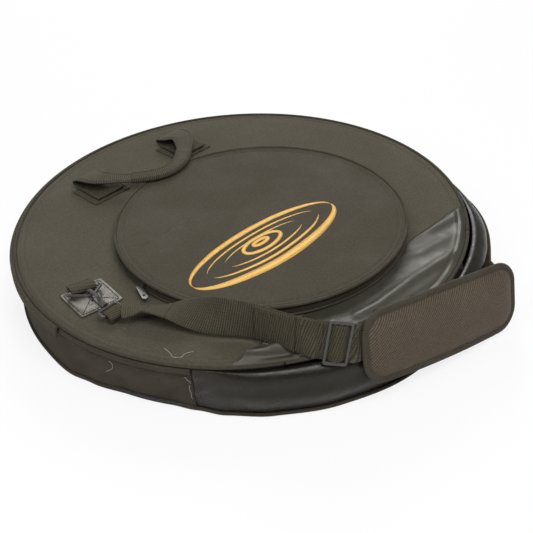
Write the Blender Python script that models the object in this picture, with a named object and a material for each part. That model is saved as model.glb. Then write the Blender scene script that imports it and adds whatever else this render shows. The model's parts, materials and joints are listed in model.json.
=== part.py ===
"""A soft round cymbal bag with a front pocket, a carry handle and a shoulder strap.

The bag lies on its back panel. The origin is the centre of the back face, +Z goes up through
the front panel, +Y points at the carry handle and -Y at the vinyl bottom edge.
"""
import math

import bmesh
import bpy
from mathutils import Matrix, Vector

mm = 0.001
deg = math.pi / 180
whole_turn_deg = 360

# Whole bag
panel_radius = 320 * mm
bag_height = 78 * mm
panel_thickness = 4 * mm
touch_gap = 0.3 * mm
facet_deg = 5

# Seams and side wall
piping_radius = 2.4 * mm
piping_sides = 8
gusset_thickness = 2.5 * mm
gusset_inset = 0.8 * mm
vinyl_start_deg = 215
vinyl_end_deg = 325
wall_bulge = 29 * mm
wall_bulge_start_deg = 215
wall_bulge_peak_deg = 308
wall_bulge_end_deg = 345
wall_height_shares = (0, 0.25, 0.68, 0.88, 1)
wall_bulge_shares = (0, 0.5, 1, 0.75, 0)
vinyl_depth = 102 * mm
lining_thickness = 1.5 * mm
lining_inset = 6 * mm

# Fold line of the lid, across the vinyl, where the zip ends
fold_deg = 55
fold_end_gap_deg = 0.15
fold_gap_deg = 0.1

# Main zip
zip_drop = 12 * mm
zip_slot = 1.6 * mm
zip_row_height = 1.2 * mm
zip_row_depth = 3 * mm
tape_thickness = 1.8 * mm
tape_width = 12 * mm
flap_start_deg = 28
flap_end_deg = 180
flap_drop = 15.5 * mm
flap_thickness = 2.2 * mm
flap_stand_off = 3.5 * mm

# Padding and divider inside
side_padding_thickness = 4.5 * mm
side_padding_height = 45 * mm
edge_pad_thickness = 13 * mm
edge_pad_height = 44 * mm
edge_pad_half_deg = 45
divider_inset = 30 * mm
divider_thickness = 2 * mm
divider_binding_width = 3 * mm
divider_binding_thickness = 2.6 * mm

# Sliders and pulls
slider_half_deg = 1.4
slider_plate = 2.2 * mm
slider_bridge = 0.9 * mm
slider_drop = 5.4 * mm
slider_parting_deg = 2.2
pull_length = 32 * mm
pull_width = 8 * mm
pull_thickness = 1.5 * mm
pull_ring_hole = 4 * mm

# Front pocket
pocket_drop = 41 * mm
pocket_wall_height = 8.5 * mm
pocket_wall_thickness = 2 * mm
pocket_inset = 118.2 * mm
pocket_face_thickness = 2.5 * mm
pocket_face_inset = 1 * mm
pocket_piping_radius = 2.2 * mm
pocket_base_piping_radius = 1.4 * mm
pocket_row_height = 1 * mm
pocket_row_depth = 2.8 * mm
pocket_zip_start_deg = -35
pocket_zip_end_deg = 215
pocket_slider_deg = 175
pocket_slider_half_deg = 2
pocket_pull_length = 26 * mm
pocket_pull_angle_deg = 248

# Carry handle
handle_patch_width = 66 * mm
handle_patch_depth = 60 * mm
handle_patch_thickness = 1.5 * mm
handle_patch_offset = 83 * mm
handle_patch_gap = 22.5 * mm
webbing_width = 50 * mm
webbing_thickness = 2.2 * mm
handle_fold_reach = 6 * mm
handle_fold_height = 13 * mm
grip_width = 25 * mm
grip_thickness = 7 * mm
grip_half_length = 52 * mm
grip_sag = 26 * mm
grip_lead = 14 * mm
grip_edge = 2 * mm
handle_layer_lift = 1.2 * mm

# Strap anchors, rings and snap hooks
anchor_patch_width = 62 * mm
anchor_patch_depth = 60 * mm
anchor_patch_thickness = 1.5 * mm
anchor_turn_deg = -8
left_anchor_inset = 60 * mm
left_anchor_y = 12 * mm
ring_tip_share = 0.74
tab_return_share = 0.6
ring_rod_radius = 2 * mm
ring_base = 52 * mm
ring_height = 36 * mm
ring_corner_radius = 4 * mm
ring_tip_radius = 8 * mm
ring_tilt_deg = 20
ring_turn_deg = -16
ring_clearance = 0.4 * mm
tab_width = 34 * mm
tab_thickness = 1.8 * mm
tab_length = 20 * mm
hook_rod_radius = 2.4 * mm
hook_eye_radius = 6.9 * mm
hook_play = 1 * mm
hook_barrel_radius = 5 * mm
hook_barrel_start = 18 * mm
hook_barrel_length = 8 * mm
hook_slope_deg = -12
left_hook_heading_deg = -88
right_hook_heading_deg = -90
gate_radius = 1.6 * mm
eye_rod_radius = 2.2 * mm
eye_width = 30 * mm
eye_depth = 10 * mm
eye_corner_share = 1.5
right_anchor_deg = 18
right_anchor_drop = 1.55 * mm
right_patch_margin = 3.15 * mm

# Shoulder strap. Each place is x, y and height over the front seam in mm, width in mm and lean
# in degrees from level about the strap's own direction.
route_radius = 320 * mm
route_height = 78 * mm
strap_clearance = 0.4 * mm
strap_end_width = 24 * mm
strap_tail = 12 * mm
strap_tail_drop_share = 0.6
route_steps = 4
lid_route = [
    (-263, -55, 11.5, 24, 0),
    (-252, -62, 12, 30, -14),
    (-238, -72, 13, 34, -26),
    (-223, -98, 15, 40, -12),
    (-211, -120, 17, 44, 14),
    (-203, -144, 21, 46, 40),
    (-194, -172, 26, 48, 66),
    (-183, -194, 27, 50, 78),
    (-173, -222, 28, 50, 84),
    (-161.9, -261.1, 28, 50, 82),
]
rim_route = [
    (-161.5, -262.6, 28, 50, 81),
    (-158.5, -271, 28, 50, 80),
]
adjuster_place_mm = (-132.2, -300.6, 20)
adjuster_heading = (0.72, -0.66, -0.20)
adjuster_lean_deg = 77
adjuster_run = 28 * mm
adjuster_run_ease = 6 * mm
back_route = [
    (105.2, -353.3, -12.4, 50, 75.5),
    (123, -350.5, -18, 50, 80),
    (142, -338, -32, 50, 95),
    (158, -317, -45, 50, 110),
    (175, -294, -53, 50, 121),
    (203, -273.5, -53, 50, 121),
    (228, -253.5, -53, 50, 121),
    (253, -228.5, -53, 50, 118),
    (274, -199, -52, 50, 110),
    (287, -166.5, -50, 50, 102),
    (303, -127, -47, 48, 95),
    (318.5, -84, -45, 46, 90),
    (330, -46, -43, 40, 90),
    (335, -14, -45, 31, 90),
    (338, 12, -45, 24, 90),
]

# Adjuster
adjuster_width = 58 * mm
adjuster_length = 30 * mm
adjuster_thickness = 3.5 * mm
adjuster_rail = 4 * mm
adjuster_end_bar = 3 * mm
adjuster_middle_bar = 5 * mm
adjuster_corner = 4 * mm
keeper_width = 48 * mm
keeper_thickness = 2 * mm
keeper_back_reach = 22 * mm
keeper_front_reach = 14 * mm
keeper_dip_reach = 10.8 * mm
keeper_arch_reach = 4.2 * mm

# Shoulder pad, held between two places on its middle surface
pad_left_mm = (-113, -328, 4)
pad_right_mm = (137, -373.5, -25)
pad_lean_deg = 75
pad_width = 92 * mm
pad_thickness = 13 * mm
pad_edge_thickness = 5 * mm
pad_corner_radius = 20 * mm
pad_ends_share = 0.06
pad_backing_thickness = 1.5 * mm
pad_backing_inset = 3 * mm
pad_strap_rise = 12.5 * mm
pad_lead_share = 0.025
pad_seam_share = 0.002
pad_strap_end_share = 0.8
pad_loop_width = 16 * mm
pad_loop_thickness = 1.6 * mm
pad_loop_foot = 4 * mm
pad_loop_side = 1.4 * mm
pad_loop_shares = (0.12, 0.44, 0.73)

# Sizes worked out from the ones above
gusset_outer_radius = panel_radius - gusset_inset
lining_radius = panel_radius - lining_inset
divider_radius = panel_radius - divider_inset
vinyl_chord = panel_radius - vinyl_depth
zip_height = bag_height - zip_drop
pocket_wall_radius = panel_radius - pocket_inset
pocket_face_radius = pocket_wall_radius - pocket_face_inset
left_anchor_x = left_anchor_inset - panel_radius
panel_edge_radius = panel_radius - piping_radius - touch_gap
piping_height = piping_radius + touch_gap
gusset_bottom = piping_height + piping_radius + touch_gap
gusset_top = bag_height - gusset_bottom
gusset_inner_radius = gusset_outer_radius - gusset_thickness
half_seam_deg = touch_gap / panel_radius / deg
panel_bottom = bag_height - panel_thickness
row_low_top = zip_height - zip_slot / 2
row_low_bottom = row_low_top - zip_row_height
row_high_bottom = zip_height + zip_slot / 2
row_high_top = row_high_bottom + zip_row_height
wall_top = row_low_bottom - touch_gap
tape_outer_radius = gusset_inner_radius - touch_gap
right_anchor_height = (gusset_bottom + wall_top) / 2 - right_anchor_drop
right_patch_height = wall_top - gusset_bottom - 2 * right_patch_margin
fold_y = -panel_radius * math.sin(fold_deg * deg)
fold_start_deg = -fold_deg
fold_end_deg = 180 + fold_deg
pocket_y = -pocket_drop
pocket_wall_bottom = bag_height + touch_gap
pocket_wall_top = pocket_wall_bottom + pocket_wall_height
pocket_row_low_bottom = pocket_wall_top + touch_gap
pocket_row_low_top = pocket_row_low_bottom + pocket_row_height
pocket_row_high_bottom = pocket_row_low_top + zip_slot
pocket_row_high_top = pocket_row_high_bottom + pocket_row_height
pocket_face_bottom = pocket_row_high_top + touch_gap
pocket_face_top = pocket_face_bottom + pocket_face_thickness
pocket_piping_place = pocket_face_radius + touch_gap + pocket_piping_radius
pocket_piping_height = pocket_face_top + pocket_piping_radius / 2 - pocket_face_thickness / 2
pocket_top = pocket_piping_height + pocket_piping_radius
pocket_reach = pocket_piping_place + pocket_piping_radius
pocket_fold_y = pocket_y + pocket_face_radius * math.sin(pocket_zip_end_deg * deg)
patch_top = bag_height + touch_gap + handle_patch_thickness
handle_patch_place = pocket_y + pocket_reach + handle_patch_gap + handle_patch_depth / 2
backing_high = -pad_thickness / 2 - touch_gap
backing_low = backing_high - pad_backing_thickness
pad_strap_depth = backing_low - touch_gap - webbing_thickness / 2
loop_depth = pad_strap_depth - webbing_thickness / 2 - touch_gap - pad_loop_thickness / 2
keeper_low = webbing_thickness / 2 + touch_gap + keeper_thickness / 2
adjuster_bottom = keeper_low + keeper_thickness / 2 + touch_gap
adjuster_top = adjuster_bottom + adjuster_thickness
keeper_high = adjuster_top + touch_gap + keeper_thickness / 2

FINISHES = {
    "woven_nylon": ((0.036, 0.034, 0.029), 0.85, 0.0),
    "gusset_nylon": ((0.028, 0.026, 0.023), 0.88, 0.0),
    "vinyl": ((0.021, 0.022, 0.019), 0.38, 0.0),
    "piping_cord": ((0.024, 0.023, 0.021), 0.7, 0.0),
    "zip_tape": ((0.012, 0.012, 0.012), 0.9, 0.0),
    "zip_coil": ((0.02, 0.02, 0.02), 0.45, 0.0),
    "lining": ((0.05, 0.05, 0.052), 0.95, 0.0),
    "foam": ((0.03, 0.03, 0.03), 0.9, 0.0),
    "webbing": ((0.03, 0.029, 0.026), 0.75, 0.0),
    "hard_plastic": ((0.015, 0.015, 0.015), 0.35, 0.0),
    "zinc": ((0.05, 0.05, 0.052), 0.3, 0.9),
    "pad_fabric": ((0.03, 0.027, 0.023), 0.9, 0.0),
}


def clear_scene():
    """Remove every object of the open scene."""
    for item in list(bpy.data.objects):
        bpy.data.objects.remove(item, do_unlink=True)


def finish_material(name, finish):
    """Make a node's own material in one of the named finishes."""
    colour, roughness, metallic = FINISHES[finish]
    material = bpy.data.materials.new(name)
    material.use_nodes = True
    shader = material.node_tree.nodes["Principled BSDF"]
    shader.inputs["Base Color"].default_value = (*colour, 1)
    shader.inputs["Roughness"].default_value = roughness
    shader.inputs["Metallic"].default_value = metallic
    return material


def place(name, bm, finish, origin=(0, 0, 0)):
    """Turn a bmesh in world places into a named object whose origin is given."""
    bmesh.ops.remove_doubles(bm, verts=bm.verts, dist=touch_gap / 100)
    bmesh.ops.recalc_face_normals(bm, faces=bm.faces)
    bm.transform(Matrix.Translation(-Vector(origin)))
    mesh = bpy.data.meshes.new(name)
    bm.to_mesh(mesh)
    bm.free()
    mesh.shade_smooth()
    mesh.set_sharp_from_angle(angle=35 * deg)
    item = bpy.data.objects.new(name, mesh)
    item.location = origin
    bpy.context.scene.collection.objects.link(item)
    mesh.materials.append(finish_material(name, finish))
    return item


def loft(sections, closed=False):
    """Extrude a face through sections of equal counts of points, capped unless closed."""
    bm = bmesh.new()
    face = bm.faces.new([bm.verts.new(point) for point in sections[0]])
    start = face
    for section in sections[1:]:
        last = face
        made = bmesh.ops.extrude_face_region(bm, geom=[last])
        face = next(item for item in made["geom"] if isinstance(item, bmesh.types.BMFace))
        for vert, point in zip(face.verts, section):
            vert.co = point
        if last is not start and last.is_valid:
            bmesh.ops.delete(bm, geom=[last], context="FACES_ONLY")
    if closed:
        bmesh.ops.delete(bm, geom=[face, start], context="FACES_ONLY")
    return bm


def ring_angles(start_deg, end_deg):
    """Angles of a ring's sections: its ends, and each whole facet between them."""
    first = math.floor(start_deg / facet_deg) + 1
    last = math.ceil(end_deg / facet_deg)
    return [start_deg] + [n * facet_deg for n in range(first, last)] + [end_deg]


def ring(profile, start_deg=0, end_deg=whole_turn_deg, centre_y=0.0):
    """Sweep a profile of radius and height round an upright axis, as an arc or a full turn."""
    def section(angle_deg):
        turn = Matrix.Rotation(angle_deg * deg, 3, "Z")
        middle = Vector((0, centre_y, 0))
        points = profile(angle_deg) if callable(profile) else profile
        return [turn @ Vector((radius, 0, height)) + middle for radius, height in points]

    full = end_deg - start_deg >= whole_turn_deg
    return loft([section(angle) for angle in ring_angles(start_deg, end_deg)], closed=full)


def box_profile(inner, outer, low, high):
    """A rectangle in radius and height."""
    return [(inner, low), (outer, low), (outer, high), (inner, high)]


def round_profile(radius, height, cord):
    """A round cord's section at a radius and a height."""
    turns = [2 * math.pi * n / piping_sides for n in range(piping_sides)]
    return [(radius + cord * math.cos(t), height + cord * math.sin(t)) for t in turns]


def slab(outline, low, high):
    """A flat plate from an outline in X and Y."""
    return loft([[(x, y, low) for x, y in outline], [(x, y, high) for x, y in outline]])


def arc_outline(radius, start_deg, end_deg, centre_y=0.0):
    """Points of an arc at whole facets."""
    return [
        (radius * math.cos(a * deg), centre_y + radius * math.sin(a * deg))
        for a in ring_angles(start_deg, end_deg)
    ]


def circle_outline(radius, centre_y=0.0):
    """Points of a full circle at whole facets."""
    return arc_outline(radius, 0, whole_turn_deg, centre_y)[:-1]


def segment_outline(radius, low_y, high_y, centre_y=0.0):
    """A disc cut by two lines along X, of which either may be past the disc."""
    points = circle_outline(radius, centre_y)
    bm = bmesh.new()
    bm.faces.new([bm.verts.new((x, y, 0)) for x, y in points])
    for place_y, side in ((low_y, -1), (high_y, 1)):
        bmesh.ops.bisect_plane(
            bm, geom=list(bm.verts) + list(bm.edges) + list(bm.faces),
            plane_co=(0, place_y, 0), plane_no=(0, side, 0), clear_outer=True,
        )
    face = next(iter(bm.faces))
    outline = [(vert.co.x, vert.co.y) for vert in face.verts]
    bm.free()
    return outline


def corners_of(middle, across, normal, width, thickness):
    """The four corners of a flat strap's section."""
    half = across * width / 2
    lift = normal * thickness / 2
    return [middle - half - lift, middle + half - lift, middle + half + lift, middle - half + lift]


def heading(spots, n):
    """Direction of a line of points at one of them."""
    ahead = spots[min(n + 1, len(spots) - 1)]
    behind = spots[max(n - 1, 0)]
    return (ahead - behind).normalized()


def leaning_axes(along, lean_deg):
    """Directions across and out of a strap that runs one way with a lean from level."""
    level = along.cross(Vector((0, 0, 1))).normalized()
    across = Matrix.Rotation(lean_deg * deg, 3, along) @ level
    return across, across.cross(along)


def strap_sections(points, widths, leans, thickness):
    """Sections of a flat strap through points, with its width and its lean at each."""
    spots = [Vector(point) for point in points]
    sections = []
    for n, spot in enumerate(spots):
        across, normal = leaning_axes(heading(spots, n), leans[n])
        sections.append(corners_of(spot, across, normal, widths[n], thickness))
    return sections


def bent_sections(points, across, width, thickness):
    """Sections of a flat strap through points, bent about one direction across it."""
    spots = [Vector(point) for point in points]
    return [
        corners_of(spot, across, across.cross(heading(spots, n)).normalized(), width, thickness)
        for n, spot in enumerate(spots)
    ]


def smooth_route(points, steps):
    """Points of a smooth curve through hand chosen places, with their other values eased too."""
    count = len(points)
    route = []
    for n in range(count - 1):
        before, here = points[max(n - 1, 0)], points[n]
        there, after = points[n + 1], points[min(n + 2, count - 1)]
        for step in range(steps):
            t = step / steps
            route.append([
                0.5 * (2 * b + (c - a) * t + (2 * a - 5 * b + 4 * c - d) * t * t
                       + (3 * b - a - 3 * c + d) * t ** 3)
                for a, b, c, d in zip(before, here, there, after)
            ])
    return route + [list(points[-1])]


def circle_section(middle, first, second, radius, sides):
    """Points of a circle round a middle in the plane of two directions."""
    turns = [2 * math.pi * k / sides for k in range(sides)]
    return [middle + (first * math.cos(t) + second * math.sin(t)) * radius for t in turns]


def rod(points, radii, sides):
    """A round bar through points, with a radius at each."""
    spots = [Vector(point) for point in points]
    normal = heading(spots, 0).orthogonal()
    sections = []
    for n, spot in enumerate(spots):
        along = heading(spots, n)
        normal = (normal - along * normal.dot(along)).normalized()
        sections.append(circle_section(spot, normal, along.cross(normal), radii[n], sides))
    return loft(sections)


def closed_rod(points, radius, sides):
    """A round bar bent into a closed loop that lies in one plane."""
    spots = [Vector(point) for point in points]
    count = len(spots)
    middle = sum(spots, Vector()) / count
    upright = (spots[0] - middle).cross(spots[count // 4] - middle).normalized()
    sections = []
    for n, spot in enumerate(spots + spots[:1]):
        along = (spots[(n + 1) % count] - spots[(n - 1) % count]).normalized()
        sections.append(circle_section(spot, upright.cross(along), upright, radius, sides))
    return loft(sections, closed=True)


def rounded_loop(corners, radii, steps):
    """Points of a closed polygon in a plane, with the radius of each rounded corner."""
    points = []
    count = len(corners)
    for n, corner in enumerate(corners):
        here = Vector(corner)
        to_last = (Vector(corners[n - 1]) - here).normalized()
        to_next = (Vector(corners[(n + 1) % count]) - here).normalized()
        half = to_last.angle(to_next) / 2
        radius = radii[n]
        middle = here + (to_last + to_next).normalized() * radius / math.sin(half)
        first = (here + to_last * radius / math.tan(half) - middle).normalized()
        last = (here + to_next * radius / math.tan(half) - middle).normalized()
        points += [middle + first.slerp(last, step / steps) * radius for step in range(steps + 1)]
    return points


def combine(item, other_bm, operation):
    """Cut a shape out of an object, or join one to it, with an exact Boolean."""
    count = len(item.modifiers)
    other = place(item.name + "_helper_" + str(count), other_bm, "zinc")
    other.hide_render = True
    other.display_type = "WIRE"
    boolean = item.modifiers.new(operation.lower(), "BOOLEAN")
    boolean.operation = operation
    boolean.solver = "EXACT"
    boolean.object = other


def bulge_share(angle_deg):
    """How far the side wall stands out at an angle, from 0 to 1."""
    turned = angle_deg % whole_turn_deg
    rise = (turned - wall_bulge_start_deg) / (wall_bulge_peak_deg - wall_bulge_start_deg)
    fall = (wall_bulge_end_deg - turned) / (wall_bulge_end_deg - wall_bulge_peak_deg)
    share = max(0.0, min(rise, fall))
    return share * share * (3 - 2 * share)


def wall_profile(angle_deg):
    """Section of the side wall below the zip, which bulges at the bottom edge."""
    out = wall_bulge * bulge_share(angle_deg)
    rise = wall_top - gusset_bottom
    steps = [(out * reach, gusset_bottom + rise * share)
             for reach, share in zip(wall_bulge_shares, wall_height_shares)]
    outer = [(gusset_outer_radius + reach, height) for reach, height in steps]
    inner = [(gusset_inner_radius + reach, height) for reach, height in steps]
    return outer + inner[::-1]


def build_back():
    """Back panel, its vinyl patch, the lining and the seam round them."""
    split = -vinyl_chord
    place("back_panel", slab(segment_outline(panel_edge_radius, split + touch_gap / 2, panel_radius),
                             0, panel_thickness), "woven_nylon")
    place("back_vinyl_panel", slab(segment_outline(panel_edge_radius, -panel_radius, split - touch_gap / 2),
                                   0, panel_thickness), "vinyl")
    low = panel_thickness + touch_gap
    place("back_lining", slab(circle_outline(lining_radius), low, low + lining_thickness), "lining")
    place("back_piping", ring(round_profile(panel_radius, piping_height, piping_radius)), "piping_cord")


def build_side():
    """The side wall: woven all round but for the vinyl at the bottom edge."""
    place("lower_gusset", ring(wall_profile, vinyl_end_deg - whole_turn_deg, vinyl_start_deg - half_seam_deg),
          "gusset_nylon")
    place("vinyl_gusset", ring(wall_profile, vinyl_start_deg, vinyl_end_deg - half_seam_deg), "vinyl")
    strip = box_profile(gusset_inner_radius, gusset_outer_radius, row_low_top + touch_gap, gusset_top)
    place("bottom_gusset_strip",
          ring(strip, fold_end_deg + fold_end_gap_deg, whole_turn_deg - fold_deg - fold_end_gap_deg), "vinyl")


def build_bottom_front():
    """The front segment below the fold line, which stays on the shell."""
    place("front_vinyl_panel",
          slab(segment_outline(panel_edge_radius, -panel_radius, fold_y - touch_gap), panel_bottom, bag_height),
          "vinyl")
    place("front_piping_bottom",
          ring(round_profile(panel_radius, bag_height - piping_height, piping_radius),
               fold_end_deg + fold_end_gap_deg, whole_turn_deg - fold_deg - fold_end_gap_deg), "piping_cord")


def build_lid_panels():
    """Front panel, the vinyl between its seam and the fold, the lining and the seam piping."""
    place("front_panel",
          slab(segment_outline(panel_edge_radius, touch_gap / 2 - vinyl_chord, panel_radius),
               panel_bottom, bag_height), "woven_nylon")
    place("lid_vinyl_panel",
          slab(segment_outline(panel_edge_radius, fold_y, -vinyl_chord - touch_gap / 2),
               panel_bottom, bag_height), "vinyl")
    high = panel_bottom - touch_gap
    place("front_lining",
          slab(segment_outline(lining_radius, fold_y, panel_radius), high - lining_thickness, high), "lining")
    place("front_piping",
          ring(round_profile(panel_radius, bag_height - piping_height, piping_radius),
               fold_start_deg + fold_end_gap_deg, fold_end_deg - fold_end_gap_deg), "piping_cord")


def build_main_zip():
    """Both halves of the main zip, the narrow gusset above it and the flap that covers it."""
    start, end = fold_start_deg + fold_end_gap_deg, fold_end_deg - fold_end_gap_deg
    row_inner = gusset_inner_radius
    row_outer = row_inner + zip_row_depth
    low_tape = box_profile(tape_outer_radius - tape_thickness, tape_outer_radius,
                           row_low_top - tape_width, row_low_top)
    high_tape = box_profile(tape_outer_radius - tape_thickness, tape_outer_radius,
                            row_high_bottom, panel_bottom - touch_gap)
    place("zip_tape_lower", ring(low_tape, start, end), "zip_tape")
    place("zip_tape_upper", ring(high_tape, start, end), "zip_tape")
    place("zip_chain_lower", ring(box_profile(row_inner, row_outer, row_low_bottom, row_low_top), start, end),
          "zip_coil")
    place("zip_chain_upper", ring(box_profile(row_inner, row_outer, row_high_bottom, row_high_top), start, end),
          "zip_coil")
    upper_low = row_high_top + touch_gap
    place("upper_gusset", ring(box_profile(gusset_inner_radius, gusset_outer_radius, upper_low, gusset_top),
                               start, end), "gusset_nylon")
    inner = panel_radius + piping_radius + touch_gap
    clear = inner + flap_stand_off
    top = bag_height - flap_stand_off
    lip = top - flap_thickness
    flap = [(inner, lip), (clear, lip), (clear, top - flap_drop), (clear + flap_thickness, top - flap_drop),
            (clear + flap_thickness, top), (inner, top)]
    place("zip_flap", ring(flap, flap_start_deg, flap_end_deg), "gusset_nylon")


def build_inside():
    """Padding round the side and at the bottom edge, and the divider that lies on the back lining."""
    floor = panel_thickness + lining_thickness + 2 * touch_gap
    outer = lining_radius
    inner = outer - side_padding_thickness
    around = ring(box_profile(inner, outer, floor, floor + side_padding_height))
    padding = place("inner_padding", around, "foam")
    bumper_outer = inner + side_padding_thickness / 2
    bumper = box_profile(inner - edge_pad_thickness, bumper_outer, floor + touch_gap, floor + edge_pad_height)
    combine(padding, ring(bumper, 270 - edge_pad_half_deg, 270 + edge_pad_half_deg), "UNION")
    hinge = (0, -divider_radius - divider_binding_width - touch_gap, floor)
    place("divider", slab(circle_outline(divider_radius), floor, floor + divider_thickness), "lining",
          origin=hinge)
    binding_inner = divider_radius + touch_gap
    place("divider_binding",
          ring(box_profile(binding_inner, binding_inner + divider_binding_width, floor,
                           floor + divider_binding_thickness)), "piping_cord", origin=hinge)


def slider(name, angle_deg, half_deg, wall_inner, wall_outer, row_top, centre_y, drop):
    """A slider that straddles the lower row of a zip, at an angle round its circle."""
    low = row_top - drop
    bridge_low = row_top + touch_gap
    high = bridge_low + slider_bridge
    inner, outer = wall_inner - touch_gap, wall_outer + touch_gap
    saddle = [(inner - slider_plate, low), (inner, low), (inner, bridge_low), (outer, bridge_low),
              (outer, low), (outer + slider_plate, low), (outer + slider_plate, high),
              (inner - slider_plate, high)]
    place(name, ring(saddle, angle_deg - half_deg, angle_deg + half_deg, centre_y), "zinc",
          origin=(0, centre_y, 0))


def pull_tab(name, start, along, normal, length):
    """A flat pull with a round end and a hole, from its pivot in a direction."""
    along, normal = Vector(along).normalized(), Vector(normal).normalized()
    across = normal.cross(along)
    half = pull_width / 2
    sides = 12
    outer = [(-half, -half), (-half, half)]
    outer += [(length - half + half * math.sin(math.pi * n / sides), half * math.cos(math.pi * n / sides))
              for n in range(sides + 1)]
    base = Vector(start)
    lift = normal * pull_thickness / 2
    low = [base + along * (u + half) + across * v - lift for u, v in outer]
    tab = loft([low, [point + 2 * lift for point in low]])
    item = place(name, tab, "zinc", origin=start)
    hole = bmesh.new()
    bmesh.ops.create_cone(hole, cap_ends=True, segments=sides, radius1=pull_ring_hole / 2,
                          radius2=pull_ring_hole / 2, depth=4 * pull_thickness)
    spot = base + along * (length - half)
    frame = Matrix((across, along, normal)).transposed().to_4x4()
    hole.transform(Matrix.Translation(spot) @ frame)
    combine(item, hole, "DIFFERENCE")


def build_sliders():
    """Two sliders that meet at the top of the main zip, and their hanging pulls."""
    wall_inner = tape_outer_radius - tape_thickness
    wall_outer = gusset_inner_radius + zip_row_depth
    face = wall_outer + touch_gap + slider_plate
    for side, away in (("left", 1), ("right", -1)):
        angle = 90 + away * slider_parting_deg
        slider("main_slider_" + side, angle, slider_half_deg, wall_inner, wall_outer, row_low_top, 0.0, slider_drop)
        out = Vector((math.cos(angle * deg), math.sin(angle * deg), 0))
        start = out * (face + touch_gap + pull_thickness / 2)
        start.z = row_low_top - touch_gap
        pull_tab("main_pull_" + side, start, (0, 0, -1), out, pull_length)


def build_pocket():
    """The round front pocket: piping, wall, zip, the face that lifts and its sewn lower end."""
    wall_inner = pocket_wall_radius - pocket_wall_thickness
    place("pocket_gusset",
          ring(box_profile(wall_inner, pocket_wall_radius, pocket_wall_bottom, pocket_wall_top),
               centre_y=pocket_y), "gusset_nylon")
    base_place = pocket_wall_radius + touch_gap + pocket_base_piping_radius + touch_gap
    place("pocket_base_piping",
          ring(round_profile(base_place, pocket_wall_bottom + pocket_base_piping_radius + touch_gap,
                             pocket_base_piping_radius), centre_y=pocket_y), "piping_cord")
    row_outer = pocket_face_radius
    row_inner = row_outer - pocket_row_depth
    zip_start, zip_end = pocket_zip_start_deg, pocket_zip_end_deg
    place("pocket_zip_lower",
          ring(box_profile(row_inner, row_outer, pocket_row_low_bottom, pocket_row_low_top),
               zip_start, zip_end, pocket_y), "zip_coil")
    place("pocket_bottom_gusset",
          ring(box_profile(wall_inner, pocket_wall_radius, pocket_row_low_bottom,
                           pocket_row_high_bottom), zip_end, zip_start + whole_turn_deg, pocket_y),
          "gusset_nylon")
    hinge = (0, pocket_fold_y, pocket_top)
    place("pocket_zip_upper",
          ring(box_profile(row_inner, row_outer, pocket_row_high_bottom + touch_gap, pocket_row_high_top),
               zip_start, zip_end, pocket_y), "zip_coil", origin=hinge)
    top, bottom = pocket_y + panel_radius, pocket_y - panel_radius
    lifting = segment_outline(pocket_face_radius, pocket_fold_y, top, pocket_y)
    sewn = segment_outline(pocket_face_radius, bottom, pocket_fold_y - touch_gap, pocket_y)
    place("pocket_face", slab(lifting, pocket_face_bottom, pocket_face_top), "woven_nylon", origin=hinge)
    place("pocket_sewn_face", slab(sewn, pocket_face_bottom, pocket_face_top), "woven_nylon")
    cord = round_profile(pocket_piping_place, pocket_piping_height, pocket_piping_radius)
    place("pocket_face_piping", ring(cord, zip_start + fold_gap_deg, zip_end - fold_gap_deg, pocket_y),
          "piping_cord", origin=hinge)
    place("pocket_sewn_piping",
          ring(cord, zip_end + fold_gap_deg, zip_start + whole_turn_deg - fold_gap_deg, pocket_y),
          "piping_cord")
    slider("pocket_slider", pocket_slider_deg, pocket_slider_half_deg, row_inner, pocket_wall_radius,
           pocket_row_low_top, pocket_y, slider_drop)
    out = Vector((math.cos(pocket_slider_deg * deg), math.sin(pocket_slider_deg * deg), 0))
    start = out * (pocket_wall_radius + touch_gap + slider_plate + pull_width / 2 + touch_gap)
    start += Vector((0, pocket_y, pocket_row_low_top - slider_drop + pull_thickness))
    lie = (math.cos(pocket_pull_angle_deg * deg), math.sin(pocket_pull_angle_deg * deg), 0)
    pull_tab("pocket_pull", start, lie, (0, 0, 1), pocket_pull_length)


def handle_leg(away, top, grip_y):
    """The webbing of one side: sewn layer, fold at the far edge, and the way back to the grip."""
    layer = patch_top + handle_layer_lift + webbing_thickness / 2
    over = patch_top + handle_fold_height
    mid = handle_patch_place
    edge = mid + handle_patch_depth / 2
    x = away * handle_patch_offset
    lead = Vector((away * grip_half_length, 2 * grip_sag, 0)).normalized()
    end = Vector((away * grip_half_length, grip_y + grip_sag, top))
    narrow = (webbing_width + grip_width) / 2
    route = [
        (x, edge - 2 * handle_fold_height, layer, webbing_width),
        (x, edge - webbing_thickness, layer, webbing_width),
        (x, edge + handle_fold_reach, (layer + over) / 2, webbing_width),
        (x, edge - webbing_thickness, over, webbing_width),
        (x, mid, top, narrow),
        (*(end + lead * grip_lead), grip_width - grip_edge),
        (*(end - lead * grip_edge), grip_width - grip_edge),
    ]
    eased = smooth_route(route, route_steps)
    return loft([fold_section(spot, eased[max(n - 1, 0)], eased[min(n + 1, len(eased) - 1)])
                 for n, spot in enumerate(eased)])


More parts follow.
